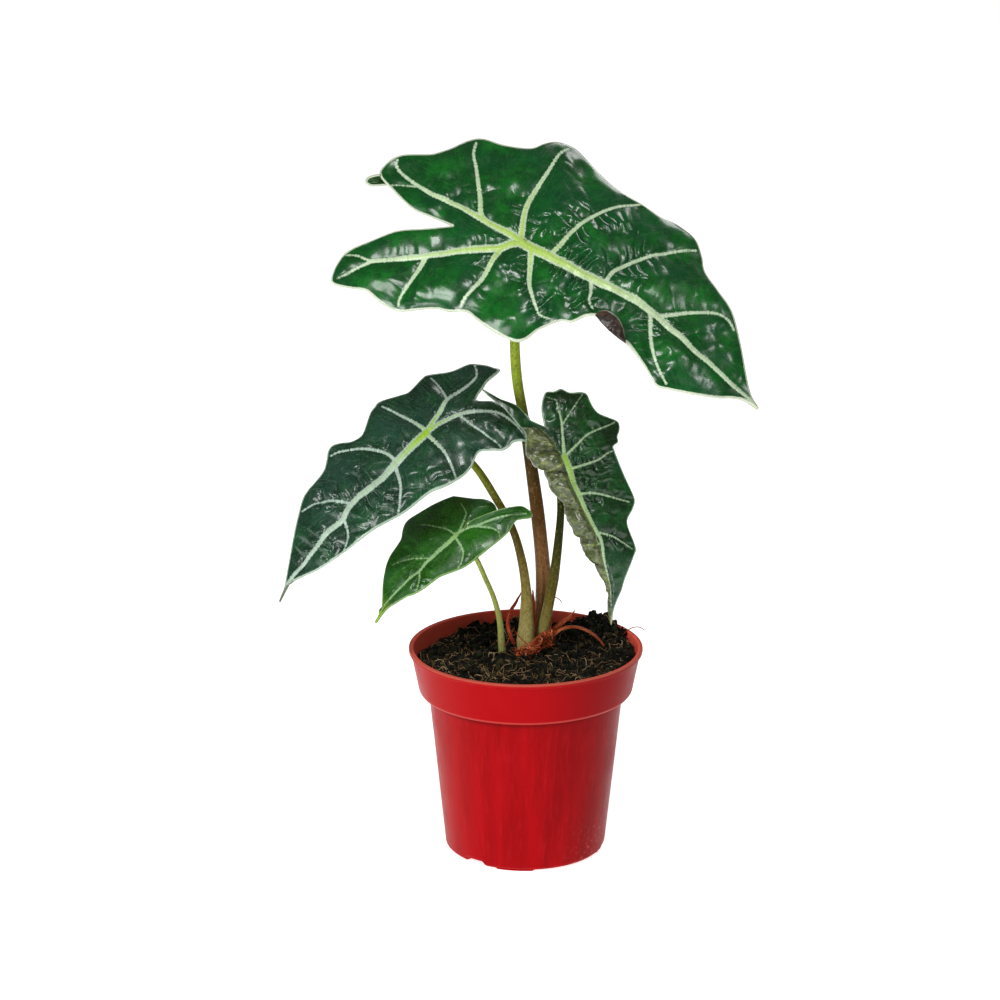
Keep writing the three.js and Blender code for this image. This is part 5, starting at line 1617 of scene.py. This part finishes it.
# Loose hairs by the stems' foot, as paths on the picture plane with their nearness.
hairs = [
    [(24.6, -48.2, -26), (27.9, -49.2, -25), (30.4, -50.7, -24.6), (31.6, -52.6, -24.4)],
    [(7.6, -66.4, -20.5), (10.6, -70.4, -18.9), (13.6, -73, -18.6), (17.6, -76.4, -19)],
    [(7.2, -64.9, -26), (5.2, -68.9, -25), (3.4, -72.8, -25), (2.2, -75, -26)],
    [(26.2, -54, -25.2), (26.3, -58, -25.1), (26, -62, -25.4), (25.6, -67, -26)],
    [(62, -68.5, -37), (66, -65.2, -36), (70.5, -64.4, -36), (74.4, -66.8, -36)],
    [(20, -60, -27.8), (21, -66, -26.5), (19.4, -71, -24), (20.2, -75, -20.6)],
]
strands = {
    "count": 70, "seed": 71, "points": 9, "hairRadius": 0.24, "hairShade": 0.35,
    "spine": [
        (9, -77.4, -19.4), (14, -77.6, -17.6), (19, -74, -17.6), (23.4, -70, -19.6), (26.6, -67, -23),
    ],
}


# Dry strands: the hairs, and short arcs strewn over the crown sheath like a torn net, along it and across
# it.
def strandSkin():
    dice = diceOf(strands["seed"])
    count, points = strands["count"], strands["points"]
    given = np.stack([stationCurve(path, points) for path in hairs])
    share = dice.uniform(0, 1, count)
    spine = stationCurve(strands["spine"], 101)
    spot = spine[(share * 100).astype(int)] + dice.normal(0, 1, (count, 3)) * (1.0, 1.6, 0.5)
    way = dice.normal(0.75, 0.7, count)
    length = dice.uniform(2.5, 8, count)
    step = np.linspace(-0.5, 0.5, points)[None]
    angle = way[:, None] + step * dice.normal(0, 1.6, (count, 1))
    right = spot[:, :1] + step * length[:, None] * np.cos(angle)
    up = spot[:, 1:2] + step * length[:, None] * np.sin(angle)
    near = spot[:, 2:] + 0.7 * (1 - (2 * step) ** 2) - 0.4
    paths = np.concatenate([given, np.stack([right, up, near], axis=-1)])
    paths = place(paths[..., 0], paths[..., 1], paths[..., 2])
    radii = np.concatenate([np.full(len(hairs), strands["hairRadius"]), dice.uniform(0.14, 0.42, count)])
    shades = np.concatenate([np.full(len(hairs), strands["hairShade"]), dice.uniform(0, 1, count)])
    return threadSkin(paths, radii, shades)


# Strands from rust to straw by their shade, with darker spots.
def strandFinish():
    box = Paintbox("dry strands", Roughness=0.6, Specular_IOR_Level=0.25)
    colour = box.ramp(box.mark("shade"), [
        (0.0, (84, 32, 8)), (0.35, (164, 62, 22)), (0.7, (216, 104, 46)), (1.0, (240, 170, 130)),
    ])
    colour = box.veiled(colour, ((112, 40, 18), box.noise(1.2, 3.0, 0.7), 0.5, 0.7, 0.6))
    return box.finish(colour, None, box.bump(box.noise(0.6, 2.0), 0.1))


# Pale root skin: a ramp on noise drawn out upwards.
def rootFinish():
    box = Paintbox("root skin", Roughness=0.7)
    streak = box.noise(1.5, 4.0, 0.6, stretch=(1, 1, 0.3))
    colour = box.ramp(streak, [(0.3, (150, 118, 84)), (0.6, (206, 184, 150)), (0.8, (226, 212, 186))])
    return box.finish(colour, None, box.bump(streak, 0.2))


# In metres and watts: where each soft light stands, what it faces, how wide and tall it is, and its power.
lamps = {
    "key_softbox": ((-1.0, -1.25, 1.3), (0, 0, 0.2), (0.65, 0.65), 16),
    "top_softbox": ((0.05, -0.75, 1.75), (0, 0, 0.25), (0.3, 0.3), 6),
    "crown_softbox": ((0.75, -0.35, 1.55), (0.03, 0, 0.3), (0.2, 0.2), 1.6),
    "low_softbox": ((-0.8, -1.3, 0.12), (-0.06, 0, 0.2), (0.4, 0.24), 2.8),
    "back_softbox": ((0.6, 1.2, 1.4), (0, 0, 0.25), (0.6, 0.6), 5),
}
studio = {"floorSize": 40, "floorGlow": 0.95, "worldGlow": 0.1}


# A pale floor that glows, the soft lights turned to what they face, and a faint white world.
def setStudio():
    bpy.ops.mesh.primitive_plane_add(size=studio["floorSize"])
    ground = bpy.context.object
    ground.name = "studio_floor"
    glow = studio["floorGlow"]
    box = Paintbox("pale floor", Roughness=0.9, Specular_IOR_Level=0.1, Emission_Strength=glow)
    tone = box.blend(box.noise(400, 2.0), (243, 243, 242), (247, 247, 246))
    box.feed(box.shader.inputs["Emission Color"], tone)
    ground.data.materials.append(box.finish(tone))
    for name, (spot, aim, size, power) in lamps.items():
        lamp = bpy.data.objects.new(name, bpy.data.lights.new(name, "AREA"))
        lamp.data.shape = "RECTANGLE"
        lamp.data.size, lamp.data.size_y = size
        lamp.data.energy = power
        lamp.location = spot
        lamp.rotation_euler = (Vector(aim) - Vector(spot)).to_track_quat("-Z", "Y").to_euler()
        bpy.context.scene.collection.objects.link(lamp)
    world = bpy.data.worlds.new("studio")
    world.use_nodes = True
    world.node_tree.nodes["Background"].inputs["Color"].default_value = (1, 1, 1, 1)
    world.node_tree.nodes["Background"].inputs["Strength"].default_value = studio["worldGlow"]
    bpy.context.scene.world = world
    bpy.context.scene.view_settings.view_transform = "Standard"


setCamera()
setStudio()
print("camera and studio set")
leaves = {"main": mainLeaf, "left": leftLeaf, "small": smallLeaf, "right": rightLeaf}
for leafName, leafData in leaves.items():
    trims = [marginCurl(leafData), lobeRoll(leafData)] if leafName == "main" else []
    growLeaf(leafName, leafData, trims)
    growStalk(leafName, leafData)
print("leaves grown")
throwPot()
makePiece("potting_soil", soilSkin(), soilFinish(), ["soil"])
makePiece("soil_fibres", fibreSkin(), fibreFinish())
makePiece("soil_crumbs", crumbSkin(), crumbFinish())
print("pot filled")
makePiece("stem_base", cormSkin(), cormFinish(), ["corm"])
growSheaths()
makePiece("dry_strands", strandSkin(), strandFinish())
rootSkin = rootFinish()
for node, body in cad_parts.items():
    if node.startswith("root_"):
        body.data.materials.clear()
        body.data.materials.append(rootSkin)
print("plant finished")
